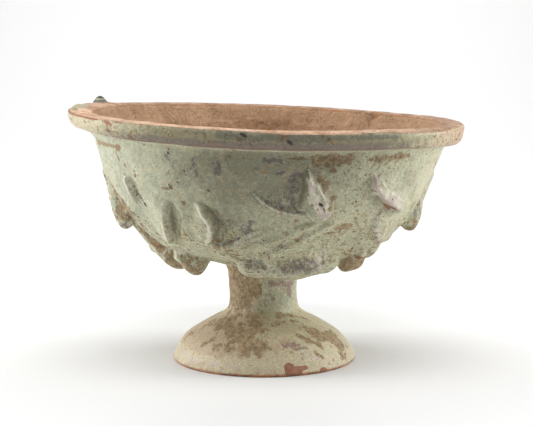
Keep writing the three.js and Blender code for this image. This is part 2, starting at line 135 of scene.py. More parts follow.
# ---------------------------------------------------------------------------
# marks on the surface: line of places, half width, strength. A height above 0.5 is on the
# foot or stem (height above the floor), the others are depths below the rim
# ---------------------------------------------------------------------------
SOIL = [
    ([(-80, -6), (-72, -7)], 0.9, 0.75), ([(-62, -4), (-58, -6)], 0.9, 0.75), ([(-50, -8), (-43, -9)], 0.8, 0.70), ([(-88, -8), (-84, -5)], 1.1, 0.80), ([(-70, -10.5), (-60, -10.8)], 0.7, 0.70),
    ([(60, -10), (70, -8)], 0.9, 0.62), ([(48, -5), (54, -4)], 0.9, 0.62),
    ([(15.5, -23), (25, -21.5)], 3.9, 1.05), ([(19.5, -26.5), (20.5, -29)], 1.8, 0.85), ([(75, -73), (77.5, -78)], 2.4, 0.85),
    ([(-72.2, -58), (-71, -66), (-70.2, -71)], 2.2, 0.84), ([(-53.4, -38.5), (-51.8, -41)], 0.8, 0.90), ([(20, 37), (34, 38), (48, 37)], 1.3, 0.80), ([(52, 36), (66, 33)], 1.0, 0.80), ([(6, -20), (11, -20)], 1.0, 0.90), ([(-74, -19), (-70, -19.5), (-64, -19.5), (-57, -19), (-52, -18.5)], 1.1, 0.95),
    ([(-74, -20), (-70, -20.5)], 1.8, 1.00), ([(-55, -20), (-52, -19.5)], 1.7, 1.00), ([(16.2, -34), (19, -41)], 2.4, 0.90),
    ([(22, -48), (21, -52)], 2.1, 0.85), ([(28, -73), (33, -72)], 2.4, 1.00), ([(23, -76), (30, -76)], 1.1, 0.80),
    ([(33, -22), (48, -22)], 3.5, 0.56), ([(-36, -45), (-33, -46)], 1.1, 0.80), ([(-79, -47), (-78, -58), (-74, -70), (-72, -79)], 3.4, 0.60), ([(-72, -47), (-70, -60), (-67, -72), (-65, -84), (-62, -92)], 1.3, 0.72),
    ([(-70, -60), (-68, -67), (-68, -74), (-68, -81)], 1.4, 0.95), ([(-74, -52), (-70, -60)], 1.0, 0.80),
    ([(-58, -64), (-59, -78), (-60, -91), (-59, -96)], 2.4, 0.78), ([(-65, -100), (-54, -100), (-50, -103)], 4.5, 0.72),
    ([(-44, -101), (-42, -104)], 5.2, 0.64), ([(-18, -88), (-10, -98)], 6.3, 0.42), ([(51, -101), (58, -98)], 5.6, 0.92),
    ([(-50.0, -46), (-48.4, -54), (-46.6, -61)], 1.4, 0.62), ([(50, -96), (58, -94)], 1.3, 0.60), ([(-56, -67), (-55, -80)], 1.5, 0.60), ([(72, -26), (78, -34)], 1.7, 0.60),
    ([(0, -103), (11, -103)], 1.8, 0.60), ([(-56, -24), (-55, -29)], 1.0, 0.80), ([(40, -94), (48, -97)], 1.5, 0.70),
    ([(33, -59), (35, -63)], 1.1, 0.50), ([(76, -72), (75, -68)], 2.1, 0.70), ([(-7, -20), (-5, -20)], 1.0, 0.55),
    ([(-95, 68), (-80, 47)], 7.5, 1.00), ([(-66, 70), (-60, 46)], 8.0, 1.00), ([(-44, 70), (-36, 49.6)], 7.3, 1.00), ([(-20, 70), (-15, 56.2)], 5.6, 1.00), ([(-47, 37.6), (-28, 37.9), (-9, 37.4)], 1.3, 1.00),
    ([(-50, 33.0), (-17, 26.8)], 8.4, 0.88), ([(-24, 26.8), (-4, 20.9)], 7.7, 0.92), ([(-38, 19.5), (-14, 18.0)], 2.8, 0.70),
    ([(-14, 34.0), (-1, 30.0)], 4.2, 0.70), ([(-77, 20.9), (-68, 31.0)], 5.6, 0.50), ([(-49, 18.0), (-44, 22.2)], 2.1, 0.75),
    ([(50, 26), (67, 20)], 5.6, 1.10), ([(60, 20), (68, 14)], 3.4, 0.92), ([(34, 25.5), (44, 18.5)], 2.8, 0.84), ([(24, 39), (44, 37)], 1.6, 0.85), ([(64, 15.7), (62, 7.4)], 3.2, 0.85), ([(68, 20), (76, 12)], 2.2, 0.84),
    ([(38, 14.7), (41, 11.2)], 1.5, 0.80), ([(38, 34.0), (46, 33.0)], 1.5, 0.80), ([(-2, 45.3), (-8, 43.1)], 1.8, 0.60),
    ([(-44, 47.5), (-27, 45.3)], 1.8, 0.50), ([(40, 30.0), (46, 26.8)], 2.8, 0.50), ([(76, 23.4), (77, 20.9)], 2.1, 0.60),
]
PLUM = [
    ([(-74, -72), (-70.5, -75)], 1.6, 0.85), ([(8.6, -30.5), (10.6, -34)], 2.0, 0.85), ([(-1, -50.4), (3, -55.4), (7.5, -58.2), (12.2, -59.4)], 0.8, 0.75), ([(50, -102), (55, -103.5)], 1.3, 0.80), ([(74, -58), (77, -66)], 1.9, 0.70), ([(73, -62), (77, -72)], 2.6, 0.55), ([(-57, -45), (-56, -54)], 1.6, 0.40),
    ([(-22, -21), (-24, -32)], 4.0, 0.50), ([(-15, -25), (-15, -30)], 3.0, 0.80), ([(-32, -21), (-31, -24)], 1.8, 0.80),
    ([(8.2, -35), (8.4, -56)], 4.7, 0.68), ([(0, -51), (7, -56)], 4.9, 0.50), ([(-1, -21), (4, -22)], 2.0, 0.80),
    ([(3, -31), (5, -31)], 1.8, 0.80), ([(-5, -67), (-7, -76)], 2.5, 0.80),
    ([(-22, -87), (-16, -85), (-12, -83), (-7, -78), (-5, -74)], 0.9, 0.62), ([(-26, -89), (-21, -88)], 1.3, 0.62),
    ([(-36, -66), (-39, -80)], 1.5, 0.50), ([(-47, -52), (-47, -56)], 1.0, 0.60), ([(-18, -70), (-15, -72)], 2.4, 0.55),
    ([(-14, -68), (-8, -71)], 5.6, 0.42), ([(9, -99), (27, -98)], 6.0, 0.53), ([(-8, -98), (2, -98)], 4.9, 0.50),
    ([(20, -95), (24, -96)], 2.1, 0.80), ([(-12, -82), (-10, -81)], 1.5, 0.80), ([(-22, -31), (-22, -34)], 1.8, 0.70),
    ([(-20, -75), (-20, -80)], 2.1, 0.60), ([(1, -20), (3, -20)], 1.7, 0.70), ([(45, -72), (53, -83)], 2.8, 0.50),
    ([(13, 62.7), (60, 60.5)], 3.1, 0.80), ([(48, 56.2), (52, 51.8)], 2.5, 0.90), ([(-2, 51.8), (8, 47.5)], 3.5, 0.50),
    ([(10, 33.0), (26, 34.0)], 2.5, 0.72), ([(16, 20.9), (26, 20.9)], 2.4, 0.90), ([(27, 14.7), (26, 11.2)], 0.9, 0.85),
    ([(22, 18.0), (33, 18.0)], 0.8, 0.85), ([(45, 5.4), (53, 3.4)], 1.1, 0.60), ([(20, 49.6), (29, 45.3)], 2.8, 0.40),
    ([(-7, 43.1), (-2, 41.0)], 1.4, 0.70),
]
WORN = [
    ([(75, -60), (76, -70)], 3.0, 0.55), ([(-70, -84), (-60, -92)], 1.6, 0.70), ([(-60, -97), (-50, -97)], 1.3, 0.70), ([(-47, -96), (-41, -99)], 1.3, 0.80),
    ([(35, -33), (36, -40), (39, -46)], 2.0, 1.00), ([(39, -46), (44, -50), (50, -55), (54, -60)], 3.6, 1.00), ([(42, -46), (51, -50)], 2.2, 0.80),
    ([(13.2, -34), (14.2, -41), (15.2, -47)], 2.6, 0.95), ([(15, -46), (17.8, -53), (20.8, -58.5)], 3.8, 0.92), ([(19, -50), (21, -54)], 2.1, 0.90),
    ([(-36.1, -54), (-37.6, -62), (-39.8, -72.5), (-41.8, -82), (-44.6, -89)], 0.7, 1.00), ([(-22.5, -59.5), (-20.5, -64), (-19.6, -68.5), (-19.6, -73), (-20.6, -79), (-23.2, -83)], 0.5, 0.90),
    ([(-53.6, -42), (-53.4, -47), (-53.6, -52)], 2.8, 1.00), ([(-50.6, -45), (-49.6, -52), (-47.6, -60)], 1.7, 0.80), ([(-76, -62), (-74, -70), (-71.5, -77)], 2.4, 0.90), ([(-78, -50), (-76, -60), (-74.5, -70)], 2.6, 1.00),
    ([(44, -66), (51, -79)], 4.5, 0.66), ([(20, -51), (21.5, -55)], 1.8, 0.80),
    ([(12.2, -58), (16, -59.5)], 1.2, 0.70), ([(-5, -86), (5, -81), (12, -75), (19, -68)], 0.9, 0.60),
    ([(24, -93), (27, -97)], 2.1, 0.70), ([(-30, -60), (-31, -66)], 1.0, 0.80), ([(-16, -58), (-16, -64)], 1.0, 0.70),
    ([(-76, -76), (-70.5, -78)], 2.8, 1.00), ([(-42, -102), (-41, -104)], 2.8, 0.50), ([(26, -92), (28, -95)], 1.6, 0.75),
    ([(-16, -99), (-12, -103), (-4, -104)], 1.1, 0.60), ([(-43, 47.5), (-13, 43.1)], 4.2, 0.60),
    ([(-73, 9.3), (-44, 7.4), (-15, 7.4)], 4.2, 0.55), ([(-13, 20.9), (-8, 20.9)], 2.4, 0.80), ([(30, 16.4), (40, 7.4)], 4.9, 0.50),
]
# pale cream lines along the crest edges: partly worn pale glaze, partly painted highlight where the edges catch the
# light
PALE = [
    ([(-39.8, -70), (-41.2, -75), (-43.2, -83), (-45.8, -90)], 1.2, 0.80),
    ([(-24.6, -56), (-23.0, -60), (-21.2, -64.5), (-20.3, -69), (-20.3, -73.5), (-21.6, -79), (-23.8, -82.5)], 1.4, 0.92),
    ([(-57, -60), (-56.5, -66), (-55, -73), (-52, -80), (-47, -88)], 1.3, 0.78), ([(-12.4, -84.6), (-9.7, -81.6), (-7.6, -78.5), (-4.4, -75.3), (-1.3, -73.1)], 0.8, 0.95),
    ([(-4, -46), (-1.6, -51.5), (2.5, -56.8), (7, -59.6), (12.7, -61.2), (16, -60.5)], 0.9, 0.75), ([(12.6, -28.5), (13.0, -34)], 1.1, 0.75),
    ([(15.6, -37), (17.6, -44), (19.8, -50), (21.8, -55)], 0.9, 0.72), ([(13.6, -44), (13.8, -50)], 1.4, 0.72), ([(57.5, -101.5), (61, -97)], 1.2, 0.90),
    ([(37.5, -36), (41.5, -43.5), (47, -48), (54, -54)], 0.9, 0.80), ([(-20, -96), (-14, -101), (-8, -104)], 1.0, 0.75), ([(28, -90), (30, -96)], 1.2, 0.80),
]
BARE = [
    ([(47.4, -57.4), (51.4, -60.8)], 2.1, 1.00), ([(53, -82), (58, -86)], 1.0, 0.90), ([(50, -96), (58, -95)], 0.9, 0.90),
    ([(-61, -92), (-60, -94)], 1.2, 0.90), ([(16.2, -52), (16.9, -53)], 0.6, 1.00), ([(18.6, -52), (19.2, -54)], 0.6, 0.90), ([(20, -95), (21, -95)], 0.9, 0.90),
    ([(2, -91), (2, -92)], 0.9, 0.80), ([(15.5, 6.9), (16, 1.4)], 3.0, 1.20), ([(17, 4.2), (21, 3.8)], 3.4, 1.20), ([(21, 5.0), (27, 5.8)], 1.6, 1.10),
    ([(38, 1.0), (40, 1.2)], 2.2, 1.30),
    ([(-84, -1.4), (-77, -1.1), (-71, -1), (-63, -1), (-54, -1)], 1.1, 0.90), ([(-50, -1.5), (-47, -3.5)], 1.5, 0.90), ([(-46, -1), (-43, -1)], 1.0, 0.80),
]
DARK = [
    ([(-13, -3.5), (-5, -4.0), (4, -4.2), (16, -4.2)], 3.0, 0.95), ([(-7, -3.0), (-6, -3.4)], 1.8, 1.40), ([(16, -4.0), (36, -4.0)], 2.0, 0.80),
    ([(-23, -3.0), (-12, -3.0)], 1.9, 0.62), ([(-14, -30), (10, -24)], 10, 0.30),
    ([(10, -99), (26, -98)], 4.6, 0.56), ([(-8, -98), (0, -98)], 4.0, 0.54), ([(-18, -94), (-12, -97)], 2.0, 0.62),
]
PITS = [
    ([(-31.1, -18.4), (-31.0, -18.8)], 0.9, 1.2), ([(-47, -59.2), (-46.6, -59.6)], 1.0, 1.2), ([(17.0, -49.2), (17.9, -50.3)], 0.75, 1.5),
    ([(5.2, -6.2), (6.0, -8.2)], 0.9, 1.3), ([(-7.0, -2.6), (-5.6, -3.6)], 1.2, 1.0), ([(-19, -44), (-18.6, -44.6)], 0.7, 1.0),
    ([(31.0, -52), (31.4, -52.6)], 0.7, 1.0), ([(-29, -36), (-28.8, -36.4)], 0.7, 0.9), ([(-62, -36), (-61.6, -36.6)], 0.8, 1.0),
    ([(56, -44), (56.4, -44.4)], 0.7, 0.9), ([(8, -94), (8.8, -94.4)], 0.8, 1.0), ([(-55, 14), (-54, 14.3)], 0.7, 1.0), ([(-30, 10), (-29.4, 10.2)], 0.6, 0.9),
]
rng = np.random.default_rng(7)
for marks, count, small, large in ((SOIL, 34, 1.2, 5.5), (PLUM, 22, 1.2, 4.5), (BARE, 9, 0.9, 1.9), (WORN, 8, 1.5, 4.0)):
    for k in range(count):
        at = rng.uniform(98, 262)
        deep_at = rng.choice([rng.uniform(-104, -20), rng.uniform(4, 60)], p=[0.7, 0.3])
        size = rng.uniform(small, large)
        marks.append(([(at, deep_at), (at + rng.uniform(-6, 6), deep_at + rng.uniform(-6, 6) * (1 if deep_at < -28 else 0.3))],
                      size, rng.uniform(0.55, 0.95)))


# ---------------------------------------------------------------------------
# helpers
# ---------------------------------------------------------------------------
def smooth(t):
    t = np.clip(t, 0, 1)
    return t * t * (3 - 2 * t)


def catmull(stations, steps):
    """A uniform spline through the stations, each a pair of numbers."""
    p = np.array(stations, float)
    n = len(p) - 1
    t = np.linspace(0, n, steps + 1)
    i = np.minimum(t.astype(int), n - 1)
    w = (t - i)[:, None]
    p0, p1 = p[np.maximum(i - 1, 0)], p[i]
    p0 = np.where((i == 0)[:, None], p1, p0)
    p2 = p[i + 1]
    p3 = p[np.minimum(i + 2, n)]
    p3 = np.where((i + 2 > n)[:, None], p2, p3)
    v0, v1 = (p2 - p0) / 2, (p3 - p1) / 2
    return (2 * p1 - 2 * p2 + v0 + v1) * w**3 + (-3 * p1 + 3 * p2 - 2 * v0 - v1) * w**2 + v0 * w + p1


class Profile:
    def __init__(self, stations, steps=1200):
        self.p = catmull(stations, steps)
        self.s = np.concatenate([[0], np.cumsum(np.hypot(*np.diff(self.p, axis=0).T))])
        self.length = self.s[-1]

    def at(self, s):
        return np.stack([np.interp(s, self.s, self.p[:, 0]), np.interp(s, self.s, self.p[:, 1])], -1)

    def at_depth(self, z):
        zz = self.p[:, 1]
        order = np.argsort(zz)
        return np.interp(z, zz[order], self.p[order, 0])

    def s_at_depth(self, z):
        zz = self.p[:, 1]
        order = np.argsort(zz)
        return np.interp(z, zz[order], self.s[order])


bowl = Profile(BOWL_STATIONS)
foot = Profile(FOOT_STATIONS)


def turned(phi, r, z):
    return np.stack([r * np.sin(phi), -r * np.cos(phi), z + 0 * phi], -1)


def front_wave(phi):
    return -FRONT_WAVE * np.sin(2 * phi) * smooth(np.cos(phi) / 0.4)


def on_wall(places):
    places = np.asarray(places, float)
    return turned(places[:, 0] * RAD, bowl.at_depth(places[:, 1]), places[:, 1])


def line_on_wall(places):
    if len(places) == 2:
        t = np.linspace(0, 1, 9)[:, None]
        a, b = np.array(places, float)
        return on_wall(a + (b - a) * t)
    return on_wall(catmull(places, 18))


def nearest(points, p, n, reach):
    """Distance to a line, place along it from 0 to 1, and side, for the points within reach."""
    lo, hi = points.min(0) - reach, points.max(0) + reach
    idx = np.where(((p > lo) & (p < hi)).all(1))[0]
    q, m = p[idx], n[idx]
    best = np.full(len(q), 1e9)
    tt = np.zeros(len(q))
    side = np.ones(len(q))
    for i in range(len(points) - 1):
        seg = points[i + 1] - points[i]
        rel = q - points[i]
        t = np.clip(rel @ seg / (seg @ seg), 0, 1)
        off = rel - t[:, None] * seg
        d = np.linalg.norm(off, axis=1)
        closer = d < best
        best = np.where(closer, d, best)
        tt = np.where(closer, (i + t) / (len(points) - 1), tt)
        sd = np.sign((np.cross(seg, off) * m).sum(1))
        side = np.where(closer, np.where(sd >= 0, 1, -1), side)
    return idx, best, tt, side


def hashed(ix, iy, iz, seed):
    h = (ix.astype(np.uint32) * np.uint32(374761393) + iy.astype(np.uint32) * np.uint32(668265263)
         + iz.astype(np.uint32) * np.uint32(2246822519) + np.uint32(seed * 3266489917 & 0xFFFFFFFF))
    h = (h ^ (h >> np.uint32(13))) * np.uint32(1274126177)
    h = (h ^ (h >> np.uint32(16))) * np.uint32(2654435761)
    h = h ^ (h >> np.uint32(15))
    return h.astype(np.float64) / 4294967295.0 * 2 - 1


def noise(p, size, seed):
    """Smooth value noise between -1 and 1 with cells of the given size in millimetres."""
    q = p / size + 1000.0
    i = np.floor(q).astype(np.int64)
    f = q - i
    f = f * f * f * (f * (f * 6 - 15) + 10)
    out = 0
    for dx in (0, 1):
        for dy in (0, 1):
            for dz in (0, 1):
                w = (f[:, 0] if dx else 1 - f[:, 0]) * (f[:, 1] if dy else 1 - f[:, 1]) * (f[:, 2] if dz else 1 - f[:, 2])
                out = out + w * hashed(i[:, 0] + dx, i[:, 1] + dy, i[:, 2] + dz, seed)
    return out


def fbm(p, size, seed, octaves=4, rough=0.5):
    out, amp, total = 0, 1.0, 0.0
    for k in range(octaves):
        out = out + amp * noise(p, size / 2**k, seed + 17 * k)
        total += amp
        amp *= rough
    return out / total


# ---------------------------------------------------------------------------
# the turned body: rings of (radius, height, zone, outward normal), from the
# inside floor over the rim and down the wall to the hollow under the foot
# ---------------------------------------------------------------------------
rings = []


def ring(r, z, zone, steps, nr=0.0, nz=1.0):
    rings.append((r, z, zone, steps, nr, nz))


def run(points, zone, steps, spacing):
    """Rings along a polyline of (radius, height), evenly spaced."""
    pts = np.array(points, float)
    s = np.concatenate([[0], np.cumsum(np.hypot(*np.diff(pts, axis=0).T))])
    n = max(1, int(round(s[-1] / spacing)))
    at = np.linspace(0, s[-1], n + 1)
    r, z = np.interp(at, s, pts[:, 0]), np.interp(at, s, pts[:, 1])
    tr, tz = np.gradient(r), np.gradient(z)
    ln = np.hypot(tr, tz)
    for k in range(n + 1):
        ring(r[k], z[k], zone, steps, -tz[k] / ln[k], tr[k] / ln[k])


INSIDE = []
for i in range(1, 47):
    s = bowl.length * (1 - i / 46) * 0.93
    a, b = bowl.at(s), bowl.at(s + 1)
    t = (b - a) / np.hypot(*(b - a))
    thick = WALL + math.sqrt(WALL) * float(smooth((s / bowl.length - 0.6) / 0.4))
    INSIDE.append((a[0] + t[1] * thick, max(a[1] - t[0] * thick, -FLOOR_DEPTH + 0.08 * i)))
INSIDE = [q for q in INSIDE if q[1] < -19]
inner = [(1.2, -FLOOR_DEPTH), (20, -FLOOR_DEPTH + 0.05)] + INSIDE
pts = np.array(inner, float)
run(catmull(inner, 400), "inside", ROUND_IN, 4.0)
LIP = [(INSIDE[-1][0] + 1.0, -15), (129.4, -8.5), (130.8, -4.6), (131.7, -2.4), (132.9, -0.9), (134.8, -0.2), (138, 0.1),
       (142, 0.15), (146, 0.0), (148.3, -0.35), (149.4, -1.0), (150.0, -2.2), (150.0, -4.6), (149.6, -7.6),
       (149.0, -9.8), (148.2, -11.4), (146.9, -12.5), (145.0, -13.1), (141, -13.7), (137.4, -14.6), (135.5, -16.0),
       (134.7, -18.2)]
run(catmull(LIP, 600), "rim", ROUND, 1.8)
s0 = bowl.s_at_depth(-19.6)
n_wall = int((bowl.length - s0) / 1.34)
for i in range(n_wall + 1):
    s = s0 + (bowl.length - s0) * i / n_wall
    a, b, c = bowl.at(max(s - 0.5, 0)), bowl.at(min(s + 0.5, bowl.length)), bowl.at(s)
    t = (b - a) / np.hypot(*(b - a))
    ring(c[0], c[1], "wall", ROUND, -t[1], t[0])
stem = foot.p[::-1]
stem = stem[stem[:, 1] > 1.6]
run(np.vstack([[(28.2, 70.9)], stem, [(70.0, 1.0), (69.6, 0.35), (68.9, 0.0)]]), "foot", ROUND_IN, 2.2)
flat = 70.2 - FOOT_WALL
run([(67.5, 0.0), (flat + 1, 0.0)], "under", ROUND_UNDER, 2.6)
run(catmull([(flat, 0.5), (flat - 3.5, 9), (flat - 12, 19), (flat - 27, 27), (FOOT_BORE + 3, 34), (FOOT_BORE, 44),
             (FOOT_BORE - 2, BORE_TOP - 3), (FOOT_BORE - 7, BORE_TOP - 0.6), (1.2, BORE_TOP)], 300),
    "under", ROUND_UNDER, 4.2)

# one flat array of points over all rings
first, total = [], 0
for q in rings:
    first.append(total)
    total += q[3]
phi = np.concatenate([np.arange(q[3]) * 2 * math.pi / q[3] for q in rings])
phi = (phi + math.pi) % (2 * math.pi) - math.pi
phi = phi - CROWD * np.sin(phi)
rep = np.repeat(np.arange(len(rings)), [q[3] for q in rings])
R = np.array([q[0] for q in rings])[rep]
Z = np.array([q[1] for q in rings])[rep]
NR = np.array([q[4] for q in rings])[rep]
NZ = np.array([q[5] for q in rings])[rep]
zone = np.array([q[2] for q in rings])[rep]
base = turned(phi, R, 0 * phi)
base[:, 2] = Z
normal = turned(phi, NR, 0 * phi)
normal[:, 2] = NZ
down = turned(phi, NZ, 0 * phi)
down[:, 2] = -NR
wall = zone == "wall"
# the profile runs downwards on the wall, so its left-hand normal points out
if (normal[wall] * turned(phi[wall], np.ones(wall.sum()), 0 * phi[wall])).sum(1).mean() < 0:
    normal, down = -normal, -down

# ---------------------------------------------------------------------------
# marks, worked out on the smooth shape
# ---------------------------------------------------------------------------
outside = np.where(wall | (zone == "foot") | ((zone == "rim") & ((R > 140) | (Z < -8))))[0]


def spots(places):
    p = np.array(places, float)
    if len(p) < 2:
        p = np.vstack([p, p + 0.01])
    i = np.linspace(0, len(p) - 1, 5 * (len(p) - 1) + 1)
    a, z = np.interp(i, np.arange(len(p)), p[:, 0]), np.interp(i, np.arange(len(p)), p[:, 1])
    z = z - np.where(z > -15.5, 0, front_wave(a * RAD) * smooth(1 + (z + 12) / 45))
    r = np.where(z > 0.5, foot.at_depth(z), np.where(z > -15.5, 149.6, bowl.at_depth(z)))
    return turned(a * RAD, r, z)


def painted(marks):
    out = np.zeros(len(base))
    q, m = base[outside], normal[outside]
    for line, half, strength in marks:
        idx, d, t, side = nearest(spots(line), q, m, 2 * half + 0.5)
        out[outside[idx]] = np.maximum(out[outside[idx]], strength * np.clip(1 - d / (2 * half), 0, 1))
    return out


soil, plum, worn_marks, pale, bare, dark, pits = (painted(q) for q in (SOIL, PLUM, WORN, PALE, BARE, DARK, PITS))
deg = phi / RAD
# brush strokes in the soil of the foot and stem, running away from the stem
on_foot = zone == "foot"
strokes = np.stack([phi[on_foot] * 46 + 0.5 * Z[on_foot], 0 * phi[on_foot], Z[on_foot] * 0.30], -1)
soil[on_foot] += (0.20 * noise(strokes, 2.6, 301) + 0.14 * noise(strokes, 1.3, 302)) * smooth(soil[on_foot] / 0.3)


def blob(at, width, z, high):
    d = (deg - at + 180) % 360 - 180
    return np.exp(-((d / width) ** 2) - (((Z - z) / high) ** 2))


# how light the glaze is: its own tone varies at random, with painted shade on top, darker in the middle of the front,
# just below the rim and under its flange, where the side lamps reach least, and in smaller patches; a little darker
# round the back; lighter and darker bands on the foot
tone_and_shade = 0.88 + 0.16 * fbm(base, 60, 201, 2)
under_band = (zone == "rim") & (R < 136.5) & (Z < -13.5)
tone_and_shade = tone_and_shade - (wall | under_band) * (0.86 * blob(-4, 24, -32, 34) + 0.16 * blob(-24, 16, -50, 40) + 0.18 * blob(26, 16, -28, 22) + 0.06 * blob(-45, 9, -72, 16) + 0.14 * blob(-56, 7, -48, 12) + 0.30 * blob(-13, 10, -74, 13) + 0.34 * blob(-2, 22, -20, 8))
back = 0.5 - 0.5 * np.cos(phi)
tone_and_shade = tone_and_shade - wall * back * 0.25
tone_and_shade = tone_and_shade + (zone == "foot") * (1 - back) * (0.16 * smooth((deg - 26) / 14) * smooth((Z - 13) / 5) * (1 - smooth((Z - 34) / 5)) - 0.16 * (1 - smooth((Z - 14) / 6)) * smooth((24 - deg) / 14) - 0.22 * smooth((Z - 40) / 5) * smooth((deg - 4) / 12) - 0.16 * smooth((Z - 19) / 5) * smooth((-12 - deg) / 16))
tone_and_shade = tone_and_shade - (zone == "foot") * 0.30 * smooth((Z - 38) / 6) * smooth((-25 - deg) / 20) * (1 - back)
cream = np.zeros(len(base))
is_foot = zone == "foot"
cream[is_foot] = 0.60 + 0.12 * np.cos(phi[is_foot] + 1.2) + 0.10 * (Z[is_foot] < 26) - 0.50 * smooth((Z[is_foot] - 34) / 10) * smooth((deg[is_foot] + 14) / 14)
cream[wall] = 0.14 + 0.30 * blob(72, 22, -36, 30)[wall] + 0.16 * blob(-80, 22, -50, 40)[wall] + 0.10 * smooth((-80 - Z[wall]) / 16)
band = (zone == "rim") & (R > 141) & (Z < -0.4)
low_band = smooth((-6.2 - Z) / 2.5)
middle = np.exp(-(((deg + 2) / 52) ** 4))
middle = np.maximum(middle, 0.8 * back)
# the rim band: painted shade, darker in the middle of the front between the side lamps, darker still low in the middle
# and lighter low at the sides
tone_and_shade = np.where(band, 0.84 - 0.86 * middle - 0.24 * low_band * middle + 0.16 * low_band * (1 - middle), tone_and_shade)
cream = np.where(band, 0.68 * (1 - middle) + 0.10, cream)
tone_and_shade = np.where((zone == "rim") & (Z > -0.4), 0.40, tone_and_shade)
beige = np.where(band, 0.82 * smooth((deg - 34) / 44) * (1 - smooth((deg - 112) / 20)) + 0.30 * blob(20, 22, -8, 6), 0)
pink = np.where(band, low_band * (0.12 + 0.52 * middle + 0.10 * np.cos(phi)), 0)
pink = np.maximum(pink, wall * 0.30 * blob(-4, 40, -19, 3))
pink = np.maximum(pink, (zone == "foot") * 0.34 * smooth((Z - 38) / 6) * smooth((deg + 14) / 14) * (1 - back))
redline = np.where((zone == "rim") & (R > 143), np.exp(-(((Z + 12.2) / 0.9) ** 2)) * (0.45 + 0.45 * middle), 0)
flecks = wall * (0.02 + 0.62 * smooth((-58 - Z) / 26) + 0.62 * blob(34, 20, -40, 34) + 0.35 * blob(-14, 16, -82, 12)) + is_foot * 0.0 + (zone == "rim") * (0.3 - 0.08 * smooth((-40 - deg) / 20))
tan = is_foot * smooth((Z - 8) / 9) * (1 - smooth((Z - 38) / 6)) * (0.38 + 0.58 * smooth((14 - deg) / 40) * (1 - back))
tan = tan + is_foot * (1 - smooth((Z - 3) / 8)) * (0.22 + 0.16 * smooth((20 - deg) / 20) * (1 - back)) + is_foot * 0.12 * smooth((-20 - deg) / 30) * (1 - back) - is_foot * 0.22 * smooth((deg - 22) / 20)
foot_edge = is_foot * (1 - smooth((Z - 0.7) / 2.6)) * (0.92 + 0.1 * np.sin(3 * phi + 1))
warm = (0.25 + 0.35 * smooth((deg + 52) / 34)) * (1 - 0.3 * back)
warm = np.where(is_foot, 1.0 - 0.5 * smooth((Z - 36) / 8) * smooth((deg + 14) / 14), warm)
warm = np.where((zone == "rim") & (R > 141), 1.15, warm)
glazed = np.where(zone == "rim", np.where((Z < -3) & (R > 134.2), 1, smooth((R - 146.6) / 3.0)), (wall | is_foot) * 1.0)
glazed = np.where((zone == "inside") | (zone == "under"), 0, glazed)
# runs of glaze over the top of the rim at the far left
glazed = np.maximum(glazed, np.where((zone == "rim") & (Z > -3) & (R > 134),
                                     1.1 * np.exp(-(((deg + 94) / 8) ** 4)) * smooth((R - 138.5) / 3)
                                     + 0.8 * np.exp(-(((deg + 112) / 12) ** 2)) * smooth((R - 143) / 4)
                                     + 0.9 * np.exp(-(((deg + 81) / 6) ** 2) - (((R - 145) / 1.6) ** 2)), 0))
edge_worn = 1.7 * np.maximum(blob(14, 13, -1, 9), 0.8 * blob(48, 12, -1, 9)) + 0.7
glazed = glazed * np.where((zone == "rim") & (R > 146) & (Z < 0.2) & (Z > -6) & (np.cos(phi) > 0) & (deg > -70), smooth((-Z - edge_worn + 0.7) / 1.2), 1)
dark = np.maximum(dark, np.where((zone == "rim") & (Z > -3), 0.85 * np.exp(-(((deg + 82) / 7) ** 2) - (((R - 145) / 1.4) ** 2)), 0))
lip_pale = np.where((zone == "rim") & (Z > -3.5), 0.5 + 0.5 * np.cos(phi) + 0.40 * np.exp(-(((deg + 72) / 30) ** 2)) - 0.60 * np.exp(-(((deg - 72) / 34) ** 2)), 0)
top_face = np.where((zone == "rim") & (Z > -3.5), smooth((R - 131) / 3), 0)
orange = np.where((zone == "rim") & (Z > -8) & (R < 137), np.exp(-(((Z + 1.3) / 0.9) ** 2)), 0) * (0.55 + 0.25 * back + 0.3 * blob(-24, 8, -1, 9) + 0.4 * blob(158, 5, -2, 9))
orange = np.maximum(orange, np.where((zone == "rim") & (R > 146) & (np.cos(phi) > 0.1), 0.62 * np.exp(-(((Z + 1.5) / 0.9) ** 2)), 0))
orange = np.where(zone == "inside", 0.62 * smooth((fbm(base, 20, 401, 3) - 0.08) / 0.34), orange)
orange = np.maximum(orange, np.where((zone == "rim") & (R < 135), 0.9 * blob(137.5, 3.2, -2.5, 3), 0))

right_inside = np.where((zone == "inside") & (deg > 0), smooth((174 - deg) / 26), 0)

# ---------------------------------------------------------------------------
# relief of the wall
# ---------------------------------------------------------------------------
wi = np.where(wall)[0]
P, N = base[wi], normal[wi]
h = np.zeros(len(wi))
sag = np.zeros(len(wi))
worn = np.zeros(len(wi))      # crests rubbed pale
hollow_dirt_and_shade = np.zeros(len(wi))      # darker inside the hollows and on the steep sides: dirt and painted shade
crease_dirt_and_shade = np.zeros(len(wi))      # dark line in the crease along the foot of the steep sides: dirt and painted shade
